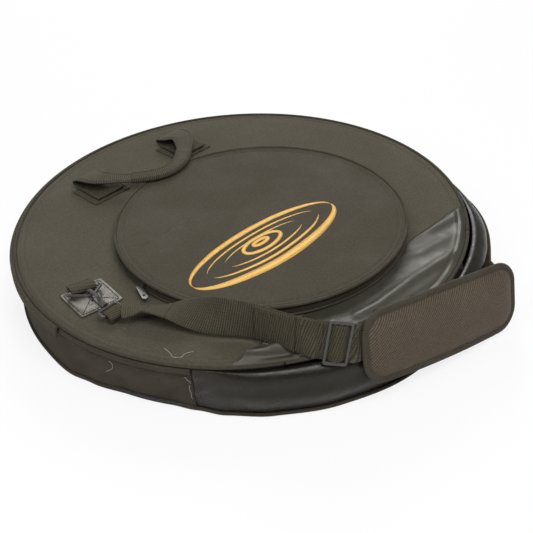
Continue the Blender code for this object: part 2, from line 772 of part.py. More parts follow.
def build_handle():
    """Two sewn patches, the webbing that folds back over each, and the stitched grip between."""
    hinge = (0, handle_patch_place + handle_patch_depth / 2, patch_top + webbing_thickness)
    half_w, half_d = handle_patch_width / 2, handle_patch_depth / 2
    low_y, high_y = handle_patch_place - half_d, handle_patch_place + half_d
    for side, x in (("left", -handle_patch_offset), ("right", handle_patch_offset)):
        outline = [(x - half_w, low_y), (x + half_w, low_y), (x + half_w, high_y), (x - half_w, high_y)]
        place("handle_patch_" + side, slab(outline, bag_height + touch_gap, patch_top), "webbing")
    top = pocket_top + touch_gap + grip_thickness / 2
    grip_y = pocket_y + pocket_reach - grip_width / 2
    shares = [n / 8 - 1 for n in range(17)]
    arc = [(grip_half_length * s, grip_y + grip_sag * s * s, top) for s in shares]
    grip = strap_sections(arc, [grip_width] * len(arc), [0] * len(arc), grip_thickness)
    handle = place("carry_handle", loft(grip), "webbing", origin=hinge)
    for away in (-1, 1):
        combine(handle, handle_leg(away, top, grip_y), "UNION")


def fold_section(spot, behind, ahead):
    """A section of the handle's webbing, whose width keeps level and never turns over."""
    along = Vector(ahead[:3]) - Vector(behind[:3])
    flat = Vector((along.x, along.y, 0))
    across = Vector((1, 0, 0))
    if flat.length > touch_gap:
        across = Vector((0, 0, 1)).cross(flat).normalized()
    if across.x < 0:
        across = -across
    normal = along.cross(across).normalized()
    return corners_of(Vector(spot[:3]), across, normal, spot[3], webbing_thickness)


def anchor_frame(side):
    """Where a strap anchor sits: its tab's middle on the surface, and its axes as columns."""
    if side == "left":
        turn = Matrix.Rotation(ring_turn_deg * deg, 4, "Z")
        spot = Vector((left_anchor_x, left_anchor_y + anchor_patch_depth / 4, patch_top))
        return Matrix.Translation(spot) @ turn
    spin = Matrix.Rotation(right_anchor_deg * deg, 4, "Z")
    spot = Vector((gusset_outer_radius + anchor_patch_thickness + 2 * touch_gap, 0, right_anchor_height))
    upright = Matrix(((0, 0, 1, 0), (0, 1, 0, 0), (-1, 0, 0, 0), (0, 0, 0, 1)))
    return spin @ Matrix.Translation(spot) @ upright


def to_world(frame, points):
    """Points of an anchor's own frame in world places."""
    return [frame @ Vector(point) for point in points]


def bar_height():
    """Height of the ring's bar over the surface its tab is sewn to."""
    return touch_gap + tab_thickness + ring_clearance + ring_rod_radius


def apex_place():
    """The ring's pointed end in the anchor's frame."""
    reach = ring_height - ring_rod_radius
    return Vector((0, -reach * math.cos(ring_tilt_deg * deg), bar_height() + reach * math.sin(ring_tilt_deg * deg)))


def bar_turn(radius, steps):
    """Points of a half turn round a bar in Y and Z, from below it to above it."""
    turns = [math.pi * n / steps for n in range(steps + 1)]
    return [(0, -radius * math.sin(t), -radius * math.cos(t)) for t in turns]


def build_tab(side, frame):
    """The webbing tab: sewn layer, turn round the bar, and the end that comes back over it."""
    height = bar_height()
    radius = ring_rod_radius + ring_clearance + tab_thickness / 2
    line = [(0, tab_length, -radius)] + bar_turn(radius, 8)
    line += [(0, tab_length * tab_return_share, radius - tab_thickness / 2)]
    bar = frame @ Matrix.Translation((0, 0, height))
    across = frame.to_3x3() @ Vector((1, 0, 0))
    place("ring_tab_" + side, loft(bent_sections(to_world(bar, line), across, tab_width, tab_thickness)),
          "webbing")


def build_ring(side, frame):
    """A triangular ring whose base bar turns in its tab."""
    slope = Matrix.Translation((0, 0, bar_height())) @ Matrix.Rotation(-ring_tilt_deg * deg, 4, "X")
    reach = ring_height - ring_rod_radius
    half = ring_base / 2
    corners = [(-half, 0, 0), (half, 0, 0), (0, -reach - ring_tip_radius * ring_tip_share, 0)]
    radii = [ring_corner_radius, ring_corner_radius, ring_tip_radius]
    loop = rounded_loop([slope @ Vector(corner) for corner in corners], radii, 5)
    loop = to_world(frame, loop)
    pivot = frame @ Vector((0, 0, bar_height()))
    place("ring_" + side, closed_rod(loop, ring_rod_radius, 8), "hard_plastic", origin=pivot)


def hook_frame(side, frame):
    """The snap hook's own frame: X along its barrel, Z up, at the middle of its eye."""
    if side == "left":
        facing = Matrix.Rotation(left_hook_heading_deg * deg, 4, "Z")
    else:
        turned = Matrix.Rotation(right_hook_heading_deg * deg, 4, "Z")
        facing = frame.to_3x3().to_4x4() @ turned
    tip = Matrix.Translation(frame @ apex_place())
    sloping = facing @ Matrix.Rotation(-hook_slope_deg * deg, 4, "Y")
    return tip @ sloping @ Matrix.Translation((hook_play, 0, 0))


def strap_bar(side):
    """The frame of the eye's far bar, which the strap turns round."""
    reach = hook_barrel_start + hook_barrel_length + touch_gap + eye_rod_radius + eye_depth
    return hook_frame(side, anchor_frame(side)) @ Matrix.Translation((reach, 0, 0))


def build_hook(side, frame):
    """Snap hook with its barrel, the sprung gate that closes it and the swivelling strap eye."""
    hook = hook_frame(side, frame)
    eye, r = hook_eye_radius, hook_rod_radius
    start, end = hook_barrel_start, hook_barrel_start + hook_barrel_length
    turns = [math.pi * n / 10 for n in range(11)]
    bend = [(-eye * math.sin(t), 0, eye * math.cos(t)) for t in turns]
    neck = [(start - r, 0, r / 2), (start - 3 * r, 0, eye - r / 2), (start / 3, 0, eye)]
    line = [(end, 0, 0), (start, 0, 0), (start - touch_gap, 0, 0)] + neck + bend + [(r, 0, -eye)]
    radii = [hook_barrel_radius, hook_barrel_radius] + [r] * (len(line) - 2)
    place("snap_hook_" + side, rod(to_world(hook, line), radii, 10), "hard_plastic",
          origin=hook.translation)
    gate_line = [(start - gate_radius, 0, -r - 2 * touch_gap - gate_radius), (r + 2 * touch_gap, 0, -eye)]
    place("hook_gate_" + side, rod(to_world(hook, gate_line), [gate_radius] * 2, 8), "zinc",
          origin=hook @ Vector(gate_line[0]))
    near = end + touch_gap + eye_rod_radius
    half = eye_width / 2
    corners = [(near, -half, 0), (near + eye_depth, -half, 0), (near + eye_depth, half, 0),
               (near, half, 0)]
    loop = rounded_loop(to_world(hook, corners), [eye_rod_radius * eye_corner_share] * 4, 4)
    place("strap_eye_" + side, closed_rod(loop, eye_rod_radius, 8), "hard_plastic",
          origin=hook @ Vector((end, 0, 0)))


def build_anchors():
    """Both strap anchors: on the lid at the left, and on the side wall at the right."""
    half_w, half_d = anchor_patch_width / 2, anchor_patch_depth / 2
    turn = Matrix.Rotation(anchor_turn_deg * deg, 3, "Z")
    middle = Vector((left_anchor_x, left_anchor_y, 0))
    corners = [(-half_w, -half_d, 0), (half_w, -half_d, 0), (half_w, half_d, 0), (-half_w, half_d, 0)]
    outline = [(middle + turn @ Vector(corner)).xy for corner in corners]
    place("ring_patch_left", slab(outline, bag_height + touch_gap, bag_height + touch_gap
                                  + anchor_patch_thickness), "webbing")
    inner = gusset_outer_radius + touch_gap
    spread = half_d / gusset_outer_radius / deg
    profile = box_profile(inner, inner + anchor_patch_thickness,
                          right_anchor_height - right_patch_height / 2,
                          right_anchor_height + right_patch_height / 2)
    place("ring_patch_right", ring(profile, right_anchor_deg - spread, right_anchor_deg + spread), "webbing")
    for side in ("left", "right"):
        frame = anchor_frame(side)
        build_tab(side, frame)
        build_ring(side, frame)
        build_hook(side, frame)


def over_seam(place_mm):
    """A point given in mm with its height over the front seam, in world metres."""
    x, y, up = place_mm
    wide = panel_radius / route_radius
    tall = 1 if up > 0 else bag_height / route_height
    return Vector((x * mm * wide, y * mm * wide, bag_height + up * mm * tall))


def route_sections(route):
    """Sections of the strap along a table of places, eased between them."""
    eased = smooth_route([(*over_seam(spot[:3]), spot[3] * mm, spot[4]) for spot in route], route_steps)
    return strap_sections([spot[:3] for spot in eased], [spot[3] for spot in eased],
                          [spot[4] for spot in eased], webbing_thickness)


def eye_turn(side):
    """Points of the strap's end from its tail, round the eye's bar and over it."""
    bar = strap_bar(side)
    radius = eye_rod_radius + strap_clearance + webbing_thickness / 2
    turn = [(y, 0, z) for x, y, z in bar_turn(radius, 8)]
    return to_world(bar, [(strap_tail, 0, -radius * strap_tail_drop_share)] + turn)


def pad_axes():
    """The pad's directions along, across and out, and its length."""
    span = over_seam(pad_right_mm) - over_seam(pad_left_mm)
    along = span.normalized()
    across, out = leaning_axes(along, pad_lean_deg)
    return along, across, out, span.length


def pad_point(share, over, out_by):
    """A place by its share of the pad's length, how far across and how far out it is."""
    along, across, out, length = pad_axes()
    return over_seam(pad_left_mm) + along * length * share + across * over + out * out_by


def pad_section(share, low_v, high_v, low_w, high_w):
    """A rectangle across the pad."""
    return [pad_point(share, low_v, low_w), pad_point(share, high_v, low_w),
            pad_point(share, high_v, high_w), pad_point(share, low_v, high_w)]


def adjuster_axes():
    """The adjuster's frame: X along the strap, Z out of its face."""
    along = Vector(adjuster_heading).normalized()
    across, out = leaning_axes(along, adjuster_lean_deg)
    turn = Matrix((along, -across, out)).transposed().to_4x4()
    return Matrix.Translation(over_seam(adjuster_place_mm)) @ turn


def pad_strap_section(share):
    """The strap's section where it lies along the pad."""
    half_wide, half_thick = webbing_width / 2, webbing_thickness / 2
    return pad_section(share, -pad_strap_rise - half_wide, -pad_strap_rise + half_wide,
                       pad_strap_depth - half_thick, pad_strap_depth + half_thick)


def rim_sections():
    """Sections of the strap from the fold line, straight under the adjuster, to the pad."""
    adjuster = adjuster_axes()
    reaches = (-adjuster_run, -adjuster_run + adjuster_run_ease, 0, adjuster_length / 2)
    straight = [adjuster @ Vector((reach, 0, 0)) for reach in reaches]
    route = [(*over_seam(spot[:3]), spot[3] * mm, spot[4]) for spot in rim_route]
    route += [(*spot, webbing_width, adjuster_lean_deg) for spot in straight]
    route += [(*pad_point(share, -pad_strap_rise, pad_strap_depth), webbing_width, pad_lean_deg)
              for share in (-pad_lead_share, 0)]
    eased = smooth_route(route, route_steps)
    sections = strap_sections([spot[:3] for spot in eased], [spot[3] for spot in eased],
                              [spot[4] for spot in eased], webbing_thickness)
    return sections[:-1] + [pad_strap_section(0)]


def build_strap():
    """The strap's runs: over the lid, over the rim, behind the pad and round to the far anchor."""
    left = strap_bar("left").to_3x3() @ Vector((0, -1, 0))
    sewn = bent_sections(eye_turn("left"), left, strap_end_width, webbing_thickness)
    place("strap_front_run", loft(sewn + route_sections(lid_route)), "webbing")
    place("strap_rim_run", loft(rim_sections()), "webbing")
    behind = [pad_strap_section(share) for share in (pad_seam_share, pad_strap_end_share)]
    place("strap_pad_run", loft(behind), "webbing")
    leave = pad_strap_end_share + pad_seam_share
    start = pad_point(leave, -pad_strap_rise, pad_strap_depth) - Vector((0, 0, bag_height))
    first = (*(start / mm), webbing_width / mm, pad_lean_deg)
    away = [pad_strap_section(leave)] + route_sections([first] + back_route)[1:]
    right = strap_bar("right").to_3x3() @ Vector((0, 1, 0))
    sewn = bent_sections(eye_turn("right")[::-1], right, strap_end_width, webbing_thickness)
    place("strap_back_run", loft(away + sewn), "webbing")


def build_adjuster():
    """The adjuster's plate with its two slots, and the strap end that turns over its middle bar."""
    frame = adjuster_axes()
    half_l, half_w = adjuster_length / 2, adjuster_width / 2
    corners = [(-half_l, -half_w, 0), (half_l, -half_w, 0), (half_l, half_w, 0), (-half_l, half_w, 0)]
    outline = [point.xy for point in rounded_loop(corners, [adjuster_corner] * 4, 3)]
    plate = slab(outline, adjuster_bottom, adjuster_top)
    plate.transform(frame)
    item = place("adjuster", plate, "hard_plastic", origin=frame.translation)
    inner, outer = adjuster_middle_bar / 2, half_l - adjuster_end_bar
    wide = half_w - adjuster_rail
    low, high = adjuster_bottom - adjuster_thickness, adjuster_top + adjuster_thickness
    slots = [slab([(a, -wide), (b, -wide), (b, wide), (a, wide)], low, high)
             for a, b in ((-outer, -inner), (inner, outer))]
    for slot in slots:
        slot.transform(frame)
        combine(item, slot, "DIFFERENCE")
    line = [(-keeper_back_reach, 0, keeper_low), (-keeper_dip_reach, 0, keeper_low),
            (-keeper_arch_reach, 0, keeper_high), (keeper_arch_reach, 0, keeper_high),
            (keeper_dip_reach, 0, keeper_low), (keeper_front_reach, 0, keeper_low)]
    across = frame.to_3x3() @ Vector((0, -1, 0))
    keeper = loft(bent_sections(to_world(frame, line), across, keeper_width, keeper_thickness))
    place("strap_keeper", keeper, "webbing", origin=frame.translation)


def pad_half_width(share):
    """Half the pad's width at a share of its length, drawn in at its round corners."""
    length = pad_axes()[3]
    from_end = min(share, 1 - share) * length
    if from_end >= pad_corner_radius:
        return pad_width / 2
    left_over = pad_corner_radius - from_end
    return pad_width / 2 - pad_corner_radius + math.sqrt(pad_corner_radius ** 2 - left_over ** 2)


def pad_dome(share):
    """The outer side of the pad at a share of its length: places across and their thicknesses."""
    half = pad_half_width(share)
    length = pad_axes()[3]
    end_swell = min(1.0, min(share, 1 - share) * length / pad_corner_radius)
    spots = [-1, -0.85, -0.6, 0, 0.6, 0.85, 1]
    swell = [0, 0.6, 0.92, 1, 0.92, 0.6, 0]
    gain = pad_thickness - pad_edge_thickness
    return [(half * v, pad_edge_thickness + gain * rise * math.sqrt(end_swell))
            for v, rise in zip(spots, swell)]


def build_pad():
    """The padded cushion, its backing and the loops that hold it on the strap."""
    length = pad_axes()[3]
    low = -pad_thickness / 2
    round_share = pad_corner_radius / length
    ends = [0, round_share * 0.05, round_share * 0.2, round_share * 0.5, round_share]
    shares = ends + [n / 10 for n in range(2, 9)] + [1 - end for end in ends[::-1]]
    origin = over_seam(pad_left_mm)
    sections = []
    for share in shares:
        dome = pad_dome(share)
        outer = [pad_point(share, v, low + thick) for v, thick in dome]
        inner = [pad_point(share, v, low) for v, thick in dome[::-1]]
        sections.append(outer + inner)
    place("shoulder_pad", loft(sections), "pad_fabric", origin=origin)
    reach = pad_width / 2 - pad_backing_inset
    backing = [pad_section(share, -reach, reach, backing_low, backing_high)
               for share in (pad_ends_share, pad_strap_end_share)]
    sewn = place("pad_backing", loft(backing), "webbing", origin=origin)
    side = webbing_width / 2 + touch_gap + pad_loop_side
    foot = backing_low
    line = [(-side - pad_loop_foot, foot), (-side, foot), (-side + pad_loop_side, loop_depth),
            (side - pad_loop_side, loop_depth), (side, foot), (side + pad_loop_foot, foot)]
    along = pad_axes()[0]
    for share in pad_loop_shares:
        points = [pad_point(share, v - pad_strap_rise, w) for v, w in line]
        combine(sewn, loft(bent_sections(points, along, pad_loop_width, pad_loop_thickness)), "UNION")


def main():
    """Build every piece of the bag."""
    clear_scene()
    build_back()
    build_side()
    build_bottom_front()
    build_lid_panels()
    build_main_zip()
    build_inside()
    build_sliders()
    build_pocket()
    build_handle()
    build_anchors()
    build_strap()
    build_adjuster()
    build_pad()


main()
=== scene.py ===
import json
import logging
import math
from dataclasses import dataclass
from enum import Enum
from typing import Callable, Sequence

import bmesh
import bpy
from mathutils import Matrix, Vector, noise

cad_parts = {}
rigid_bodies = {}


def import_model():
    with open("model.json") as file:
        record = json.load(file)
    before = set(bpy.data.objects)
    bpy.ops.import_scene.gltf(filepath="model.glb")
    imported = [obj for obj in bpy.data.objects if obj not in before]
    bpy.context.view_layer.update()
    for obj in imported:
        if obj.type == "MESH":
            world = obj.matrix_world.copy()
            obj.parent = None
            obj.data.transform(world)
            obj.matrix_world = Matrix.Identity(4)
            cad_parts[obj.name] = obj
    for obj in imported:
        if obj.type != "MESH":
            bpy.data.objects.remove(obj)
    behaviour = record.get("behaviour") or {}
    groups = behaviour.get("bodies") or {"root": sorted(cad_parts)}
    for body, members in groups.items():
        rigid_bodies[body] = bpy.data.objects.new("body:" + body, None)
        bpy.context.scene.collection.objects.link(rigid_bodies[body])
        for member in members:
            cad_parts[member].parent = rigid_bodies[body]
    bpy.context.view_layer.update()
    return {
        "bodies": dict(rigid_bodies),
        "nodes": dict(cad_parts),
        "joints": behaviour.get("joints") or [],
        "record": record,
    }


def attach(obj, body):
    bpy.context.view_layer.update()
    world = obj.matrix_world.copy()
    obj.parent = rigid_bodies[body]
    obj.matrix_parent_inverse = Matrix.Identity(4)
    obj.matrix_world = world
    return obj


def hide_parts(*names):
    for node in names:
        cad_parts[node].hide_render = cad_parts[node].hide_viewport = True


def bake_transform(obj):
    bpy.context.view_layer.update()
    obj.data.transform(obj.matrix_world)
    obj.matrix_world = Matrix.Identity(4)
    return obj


LOG = logging.getLogger("cymbal_bag")
MM = 0.001
DEG = math.pi / 180
UV = "cloth"
SEAM_RADIUS = 320 * MM
PANEL_RADIUS = 317.3 * MM
BAG_TOP = 78 * MM
FOLD_Y = -262.13 * MM
CHORD_Y = -218 * MM
POCKET_Y = -41 * MM
POCKET_TOP = 93.5 * MM
FABRIC = 2.2 * MM
UP = Vector((0, 0, 1))

Spot = Callable[[int, int], Vector]
Height = Callable[[float, float], float]


# Shader tools


class Nodes:
    """A node tree with short ways to add nodes and join their sockets."""

    def __init__(self, tree: bpy.types.NodeTree) -> None:
        """Keep the tree that nodes are added to."""
        self.tree = tree

    def add(self, kind: str, **values: object) -> bpy.types.Node:
        """Add a node.

        Args:
            kind: The node's type name.
            values: Properties by name, or inputs by name with their underscores as spaces.

        Returns:
            The new node.
        """
        node = self.tree.nodes.new(kind)
        for key, value in values.items():
            if hasattr(node, key):
                setattr(node, key, value)
            else:
                self.feed(node.inputs[key.replace("_", " ")], value)
        return node

    def feed(self, socket: bpy.types.NodeSocket, value: object) -> None:
        """Join a socket to another one, or set its own value.

        Args:
            socket: The input.
            value: An output socket, or the input's own value.
        """
        if isinstance(value, bpy.types.NodeSocket):
            self.tree.links.new(value, socket)
        else:
            socket.default_value = value

    def fill(self, node: bpy.types.Node, **values: object) -> bpy.types.Node:
        """Feed a node's inputs by name, with underscores for spaces, and give the node back."""
        for key, value in values.items():
            self.feed(node.inputs[key.replace("_", " ")], value)
        return node

    def group(self, tree: bpy.types.NodeTree, **values: object) -> bpy.types.Node:
        """Add a node group and feed its inputs by name."""
        return self.fill(self.add("ShaderNodeGroup", node_tree=tree), **values)

    def math(self, operation: str, first: object, second: object = 0.0) -> bpy.types.NodeSocket:
        """A Math node on two numbers or sockets.

        Args:
            operation: The node's operation.
            first: Number or socket.
            second: Number or socket.

        Returns:
            Its output socket.
        """
        node = self.add("ShaderNodeMath", operation=operation)
        for socket, value in zip(node.inputs, (first, second)):
            self.feed(socket, value)
        return node.outputs[0]

    def mix(self, share: object, first: object, second: object) -> bpy.types.NodeSocket:
        """A colour mixed from two others.

        Args:
            share: Share of the second colour, a number or a socket.
            first: Colour or socket.
            second: Colour or socket.

        Returns:
            The mixed colour's socket.
        """
        node = self.add("ShaderNodeMix", data_type="RGBA")
        for number, value in ((0, share), (6, first), (7, second)):
            self.feed(node.inputs[number], value)
        return node.outputs[2]

    def ramp(self, value: bpy.types.NodeSocket, low: float, high: float) -> bpy.types.NodeSocket:
        """A number stretched to 0 at low and 1 at high, kept between them.

        Args:
            value: The number's socket.
            low: Where the result is 0.
            high: Where the result is 1.

        Returns:
            The stretched number's socket.
        """
        node = self.add("ShaderNodeMapRange", interpolation_type="SMOOTHSTEP", clamp=True)
        return self.fill(node, Value=value, From_Min=low, From_Max=high).outputs["Result"]


def new_group(name: str, inputs: Sequence[tuple[str, str, object]],
              outputs: Sequence[tuple[str, str]]) -> tuple[bpy.types.NodeTree, Nodes, dict, dict]:
    """A shader node group with named sockets.

    Args:
        name: The group's name.
        inputs: Name, socket type and default of each input.
        outputs: Name and socket type of each output.

    Returns:
        The group, its node helper, its input sockets and its output sockets by name.
    """
    tree = bpy.data.node_groups.new(name, "ShaderNodeTree")
    for label, kind, default in inputs:
        socket = tree.interface.new_socket(label, in_out="INPUT", socket_type=kind)
        if default is not None:
            socket.default_value = default
    for label, kind in outputs:
        tree.interface.new_socket(label, in_out="OUTPUT", socket_type=kind)
    nodes = Nodes(tree)
    start, end = tree.nodes.new("NodeGroupInput"), tree.nodes.new("NodeGroupOutput")
    return tree, nodes, {s.name: s for s in start.outputs}, {s.name: s for s in end.inputs}


class Weave(Enum):
    """How the threads of a cloth lie."""

    PLAIN = "plain"
    TWILL = "twill"
    RIB = "rib"
    FELT = "felt"


def weave_group(weave: Weave) -> bpy.types.NodeTree:
    """The height of a cloth's threads, with a slow unevenness, and a Shade that is painted shade where the
    threads lie low, mixed with the random unevenness.

    Args:
        weave: How the threads lie.

    Returns:
        The node group.
    """
    name = "weave_" + weave.value
    if name in bpy.data.node_groups:
        return bpy.data.node_groups[name]
    tree, nodes, start, end = new_group(
        name,
        [("Vector", "NodeSocketVector", None), ("Threads", "NodeSocketFloat", 900.0),
         ("Slub", "NodeSocketFloat", 0.3)],
        [("Height", "NodeSocketFloat"), ("Shade", "NodeSocketFloat")],
    )
    split = nodes.add("ShaderNodeSeparateXYZ", Vector=start["Vector"])
    slow = nodes.add("ShaderNodeTexNoise", Vector=start["Vector"], Scale=300.0, Detail=5.0)
    turn = nodes.math("MULTIPLY", start["Threads"], 2 * math.pi)
    along = nodes.math("MULTIPLY", split.outputs[0], turn)
    over = nodes.math("MULTIPLY", split.outputs[1], turn)
    if weave is Weave.TWILL:
        rows = nodes.math("SINE", nodes.math("ADD", along, over))
        fine = nodes.math("SINE", nodes.math("SUBTRACT", along, over))
        height = nodes.math("ADD", nodes.math("MULTIPLY", rows, 0.75), nodes.math("MULTIPLY", fine, 0.25))
    elif weave is Weave.RIB:
        rows = nodes.math("SINE", nodes.math("ADD", over, nodes.math("MULTIPLY", along, 0.16)))
        fine = nodes.math("SINE", nodes.math("MULTIPLY", along, 0.8))
        height = nodes.math("ADD", nodes.math("MULTIPLY", rows, 0.8), nodes.math("MULTIPLY", fine, 0.2))
    elif weave is Weave.FELT:
        fuzz = nodes.add("ShaderNodeTexNoise", Vector=start["Vector"], Scale=1400.0, Detail=3.0)
        height = nodes.math("MULTIPLY", nodes.math("SUBTRACT", fuzz.outputs["Fac"], 0.5), 2.0)
    else:
        height = nodes.math("MULTIPLY", nodes.math("SINE", along), nodes.math("SINE", over))
    uneven = nodes.math("MULTIPLY", nodes.math("SUBTRACT", slow.outputs["Fac"], 0.5), start["Slub"])
    total = nodes.math("ADD", nodes.math("MULTIPLY", height, 0.5), nodes.math("MULTIPLY", uneven, 3.0))
    tree.links.new(total, end["Height"])
    tree.links.new(nodes.ramp(total, -0.6, 0.6), end["Shade"])
    return tree


def soiling_group() -> bpy.types.NodeTree:
    """Colour of a dark surface with faded patches, dust and flecks of lint.

    Returns:
        The node group.
    """
    if "soiling" in bpy.data.node_groups:
        return bpy.data.node_groups["soiling"]
    tree, nodes, start, end = new_group(
        "soiling",
        [("Vector", "NodeSocketVector", None), ("Colour", "NodeSocketColor", (0.05, 0.05, 0.05, 1)),
         ("Dust", "NodeSocketColor", (0.2, 0.18, 0.15, 1)), ("Amount", "NodeSocketFloat", 0.25),
         ("Lint", "NodeSocketFloat", 0.5)],
        [("Colour", "NodeSocketColor"), ("Patch", "NodeSocketFloat")],
    )
    broad = nodes.add("ShaderNodeTexNoise", Vector=start["Vector"], Scale=9.0, Detail=5.0, Roughness=0.6)
    mottle = nodes.add("ShaderNodeTexNoise", Vector=start["Vector"], Scale=55.0, Detail=4.0)
    flecks = nodes.add("ShaderNodeTexVoronoi", Vector=start["Vector"], Scale=42.0)
    patch = nodes.ramp(broad.outputs["Fac"], 0.35, 0.7)
    both = nodes.math("MULTIPLY", nodes.ramp(mottle.outputs["Fac"], 0.3, 0.75), patch)
    share = nodes.math("MULTIPLY", nodes.math("ADD", nodes.math("MULTIPLY", patch, 0.5), both),
                       start["Amount"])
    worn = nodes.mix(share, start["Colour"], start["Dust"])
    near = nodes.math("SUBTRACT", 1.0, nodes.ramp(flecks.outputs["Distance"], 0.018, 0.035))
    rare = nodes.math("MULTIPLY", near, nodes.ramp(mottle.outputs["Fac"], 0.56, 0.6))
    speck = nodes.math("MULTIPLY", rare, start["Lint"])
    tree.links.new(nodes.mix(speck, worn, (0.4, 0.38, 0.34, 1)), end["Colour"])
    tree.links.new(patch, end["Patch"])
    return tree


def grain_group() -> bpy.types.NodeTree:
    """Fine leather-like grain with soft creases.

    Returns:
        The node group.
    """
    if "grain" in bpy.data.node_groups:
        return bpy.data.node_groups["grain"]
    tree, nodes, start, end = new_group(
        "grain",
        [("Vector", "NodeSocketVector", None), ("Scale", "NodeSocketFloat", 700.0),
         ("Crease", "NodeSocketFloat", 0.5)],
        [("Height", "NodeSocketFloat"), ("Wear", "NodeSocketFloat")],
    )
    cells = nodes.add("ShaderNodeTexVoronoi", Vector=start["Vector"], Scale=start["Scale"],
                      feature="DISTANCE_TO_EDGE")
    fold = nodes.add("ShaderNodeTexNoise", Vector=start["Vector"], Scale=28.0, Detail=5.0, Distortion=1.2)
    ridge = nodes.math("ABSOLUTE", nodes.math("SUBTRACT", fold.outputs["Fac"], 0.5))
    crease = nodes.math("SUBTRACT", 1.0, nodes.ramp(ridge, 0.0, 0.05))
    pebble = nodes.math("MULTIPLY", nodes.ramp(cells.outputs["Distance"], 0.0, 0.25), 0.25)
    depth = nodes.math("MULTIPLY", crease, start["Crease"])
    tree.links.new(nodes.math("SUBTRACT", pebble, depth), end["Height"])
    tree.links.new(nodes.ramp(fold.outputs["Fac"], 0.35, 0.7), end["Wear"])
    return tree


def scuff_group() -> bpy.types.NodeTree:
    """Fine scratches and handling marks on a hard surface.

    Returns:
        The node group.
    """
    if "scuff" in bpy.data.node_groups:
        return bpy.data.node_groups["scuff"]
    tree, nodes, start, end = new_group(
        "scuff",
        [("Vector", "NodeSocketVector", None), ("Base", "NodeSocketFloat", 0.3),
         ("Amount", "NodeSocketFloat", 0.2)],
        [("Roughness", "NodeSocketFloat"), ("Mark", "NodeSocketFloat"), ("Height", "NodeSocketFloat")],
    )
    squeeze = nodes.add("ShaderNodeMapping", Vector=start["Vector"], Scale=(900.0, 130.0, 300.0),
                        Rotation=(0.3, 0.5, 0.7))
    lines = nodes.add("ShaderNodeTexNoise", Vector=squeeze.outputs[0], Scale=1.0, Detail=3.0)
    film = nodes.add("ShaderNodeTexNoise", Vector=start["Vector"], Scale=90.0, Detail=4.0)
    mark = nodes.ramp(lines.outputs["Fac"], 0.58, 0.72)
    haze = nodes.math("MULTIPLY", film.outputs["Fac"], start["Amount"])
    tree.links.new(nodes.math("ADD", nodes.math("ADD", start["Base"], haze),
                              nodes.math("MULTIPLY", mark, start["Amount"])), end["Roughness"])
    tree.links.new(nodes.math("MULTIPLY", mark, film.outputs["Fac"]), end["Mark"])
    tree.links.new(lines.outputs["Fac"], end["Height"])
    return tree


Colour = tuple[float, float, float]


@dataclass(frozen=True)
class Finish:
    """What every finish has: a name, a colour and a place to read patterns from."""

    name: str
    colour: Colour
    on_cloth: bool = True

    def material(self) -> bpy.types.Material:
        """The finish's material, made once.

        Returns:
            The material.
        """
        if self.name in bpy.data.materials:
            return bpy.data.materials[self.name]
        made = bpy.data.materials.new(self.name)
        made.use_nodes = True
        nodes = Nodes(made.node_tree)
        shader = made.node_tree.nodes["Principled BSDF"]
        if self.on_cloth:
            vector = nodes.add("ShaderNodeUVMap", uv_map=UV).outputs[0]
        else:
            vector = nodes.add("ShaderNodeTexCoord").outputs["Object"]
        self.dress(nodes, shader, vector)
        return made

    def dress(self, nodes: Nodes, shader: bpy.types.Node, vector: bpy.types.NodeSocket) -> None:
        """Give the shader its colour, roughness and bump."""
        shader.inputs["Base Color"].default_value = (*self.colour, 1)

    def bump(self, nodes: Nodes, shader: bpy.types.Node, height: bpy.types.NodeSocket,
             depth: float) -> None:
        """Feed a height into the shader's normal through a Bump node."""
        relief = nodes.add("ShaderNodeBump", Height=height, Strength=1.0, Distance=depth)
        nodes.tree.links.new(relief.outputs[0], shader.inputs["Normal"])


@dataclass(frozen=True)
class ClothFinish(Finish):
    """Woven cloth with dust, faded patches and flecks of lint."""

    weave: Weave = Weave.PLAIN
    threads: float = 900.0
    depth: float = 0.25 * MM
    dust: Colour = (0.16, 0.145, 0.12)
    dusty: float = 0.25
    lint: float = 0.5
    roughness: float = 0.9
    sheen: float = 0.06
    tint: Colour = (1.0, 0.9, 0.72)

    def dress(self, nodes: Nodes, shader: bpy.types.Node, vector: bpy.types.NodeSocket) -> None:
        """Give the shader its weave, dust and sheen.

        Args:
            nodes: The material's nodes.
            shader: Its Principled BSDF.
            vector: Where its patterns are read.
        """
        threads = nodes.group(weave_group(self.weave), Vector=vector, Threads=self.threads)
        dirt = nodes.group(soiling_group(), Vector=vector, Colour=(*self.colour, 1), Dust=(*self.dust, 1),
                           Amount=self.dusty, Lint=self.lint)
        # The weave's Shade darkens the colour where the threads lie low: painted shade between the threads,
        # with random slub tone.
        dark = nodes.mix(0.7, dirt.outputs["Colour"], (0.004, 0.004, 0.004, 1))
        colour = nodes.mix(threads.outputs["Shade"], dark, dirt.outputs["Colour"])
        worn = nodes.math("MULTIPLY", dirt.outputs["Patch"], 0.08)
        nodes.fill(shader, Base_Color=colour, Roughness=nodes.math("SUBTRACT", self.roughness, worn),
                   Sheen_Weight=self.sheen, Sheen_Roughness=0.5, Sheen_Tint=(*self.tint, 1),
                   Specular_IOR_Level=0.16, Specular_Tint=(*self.tint, 1))
        self.bump(nodes, shader, threads.outputs["Height"], self.depth)


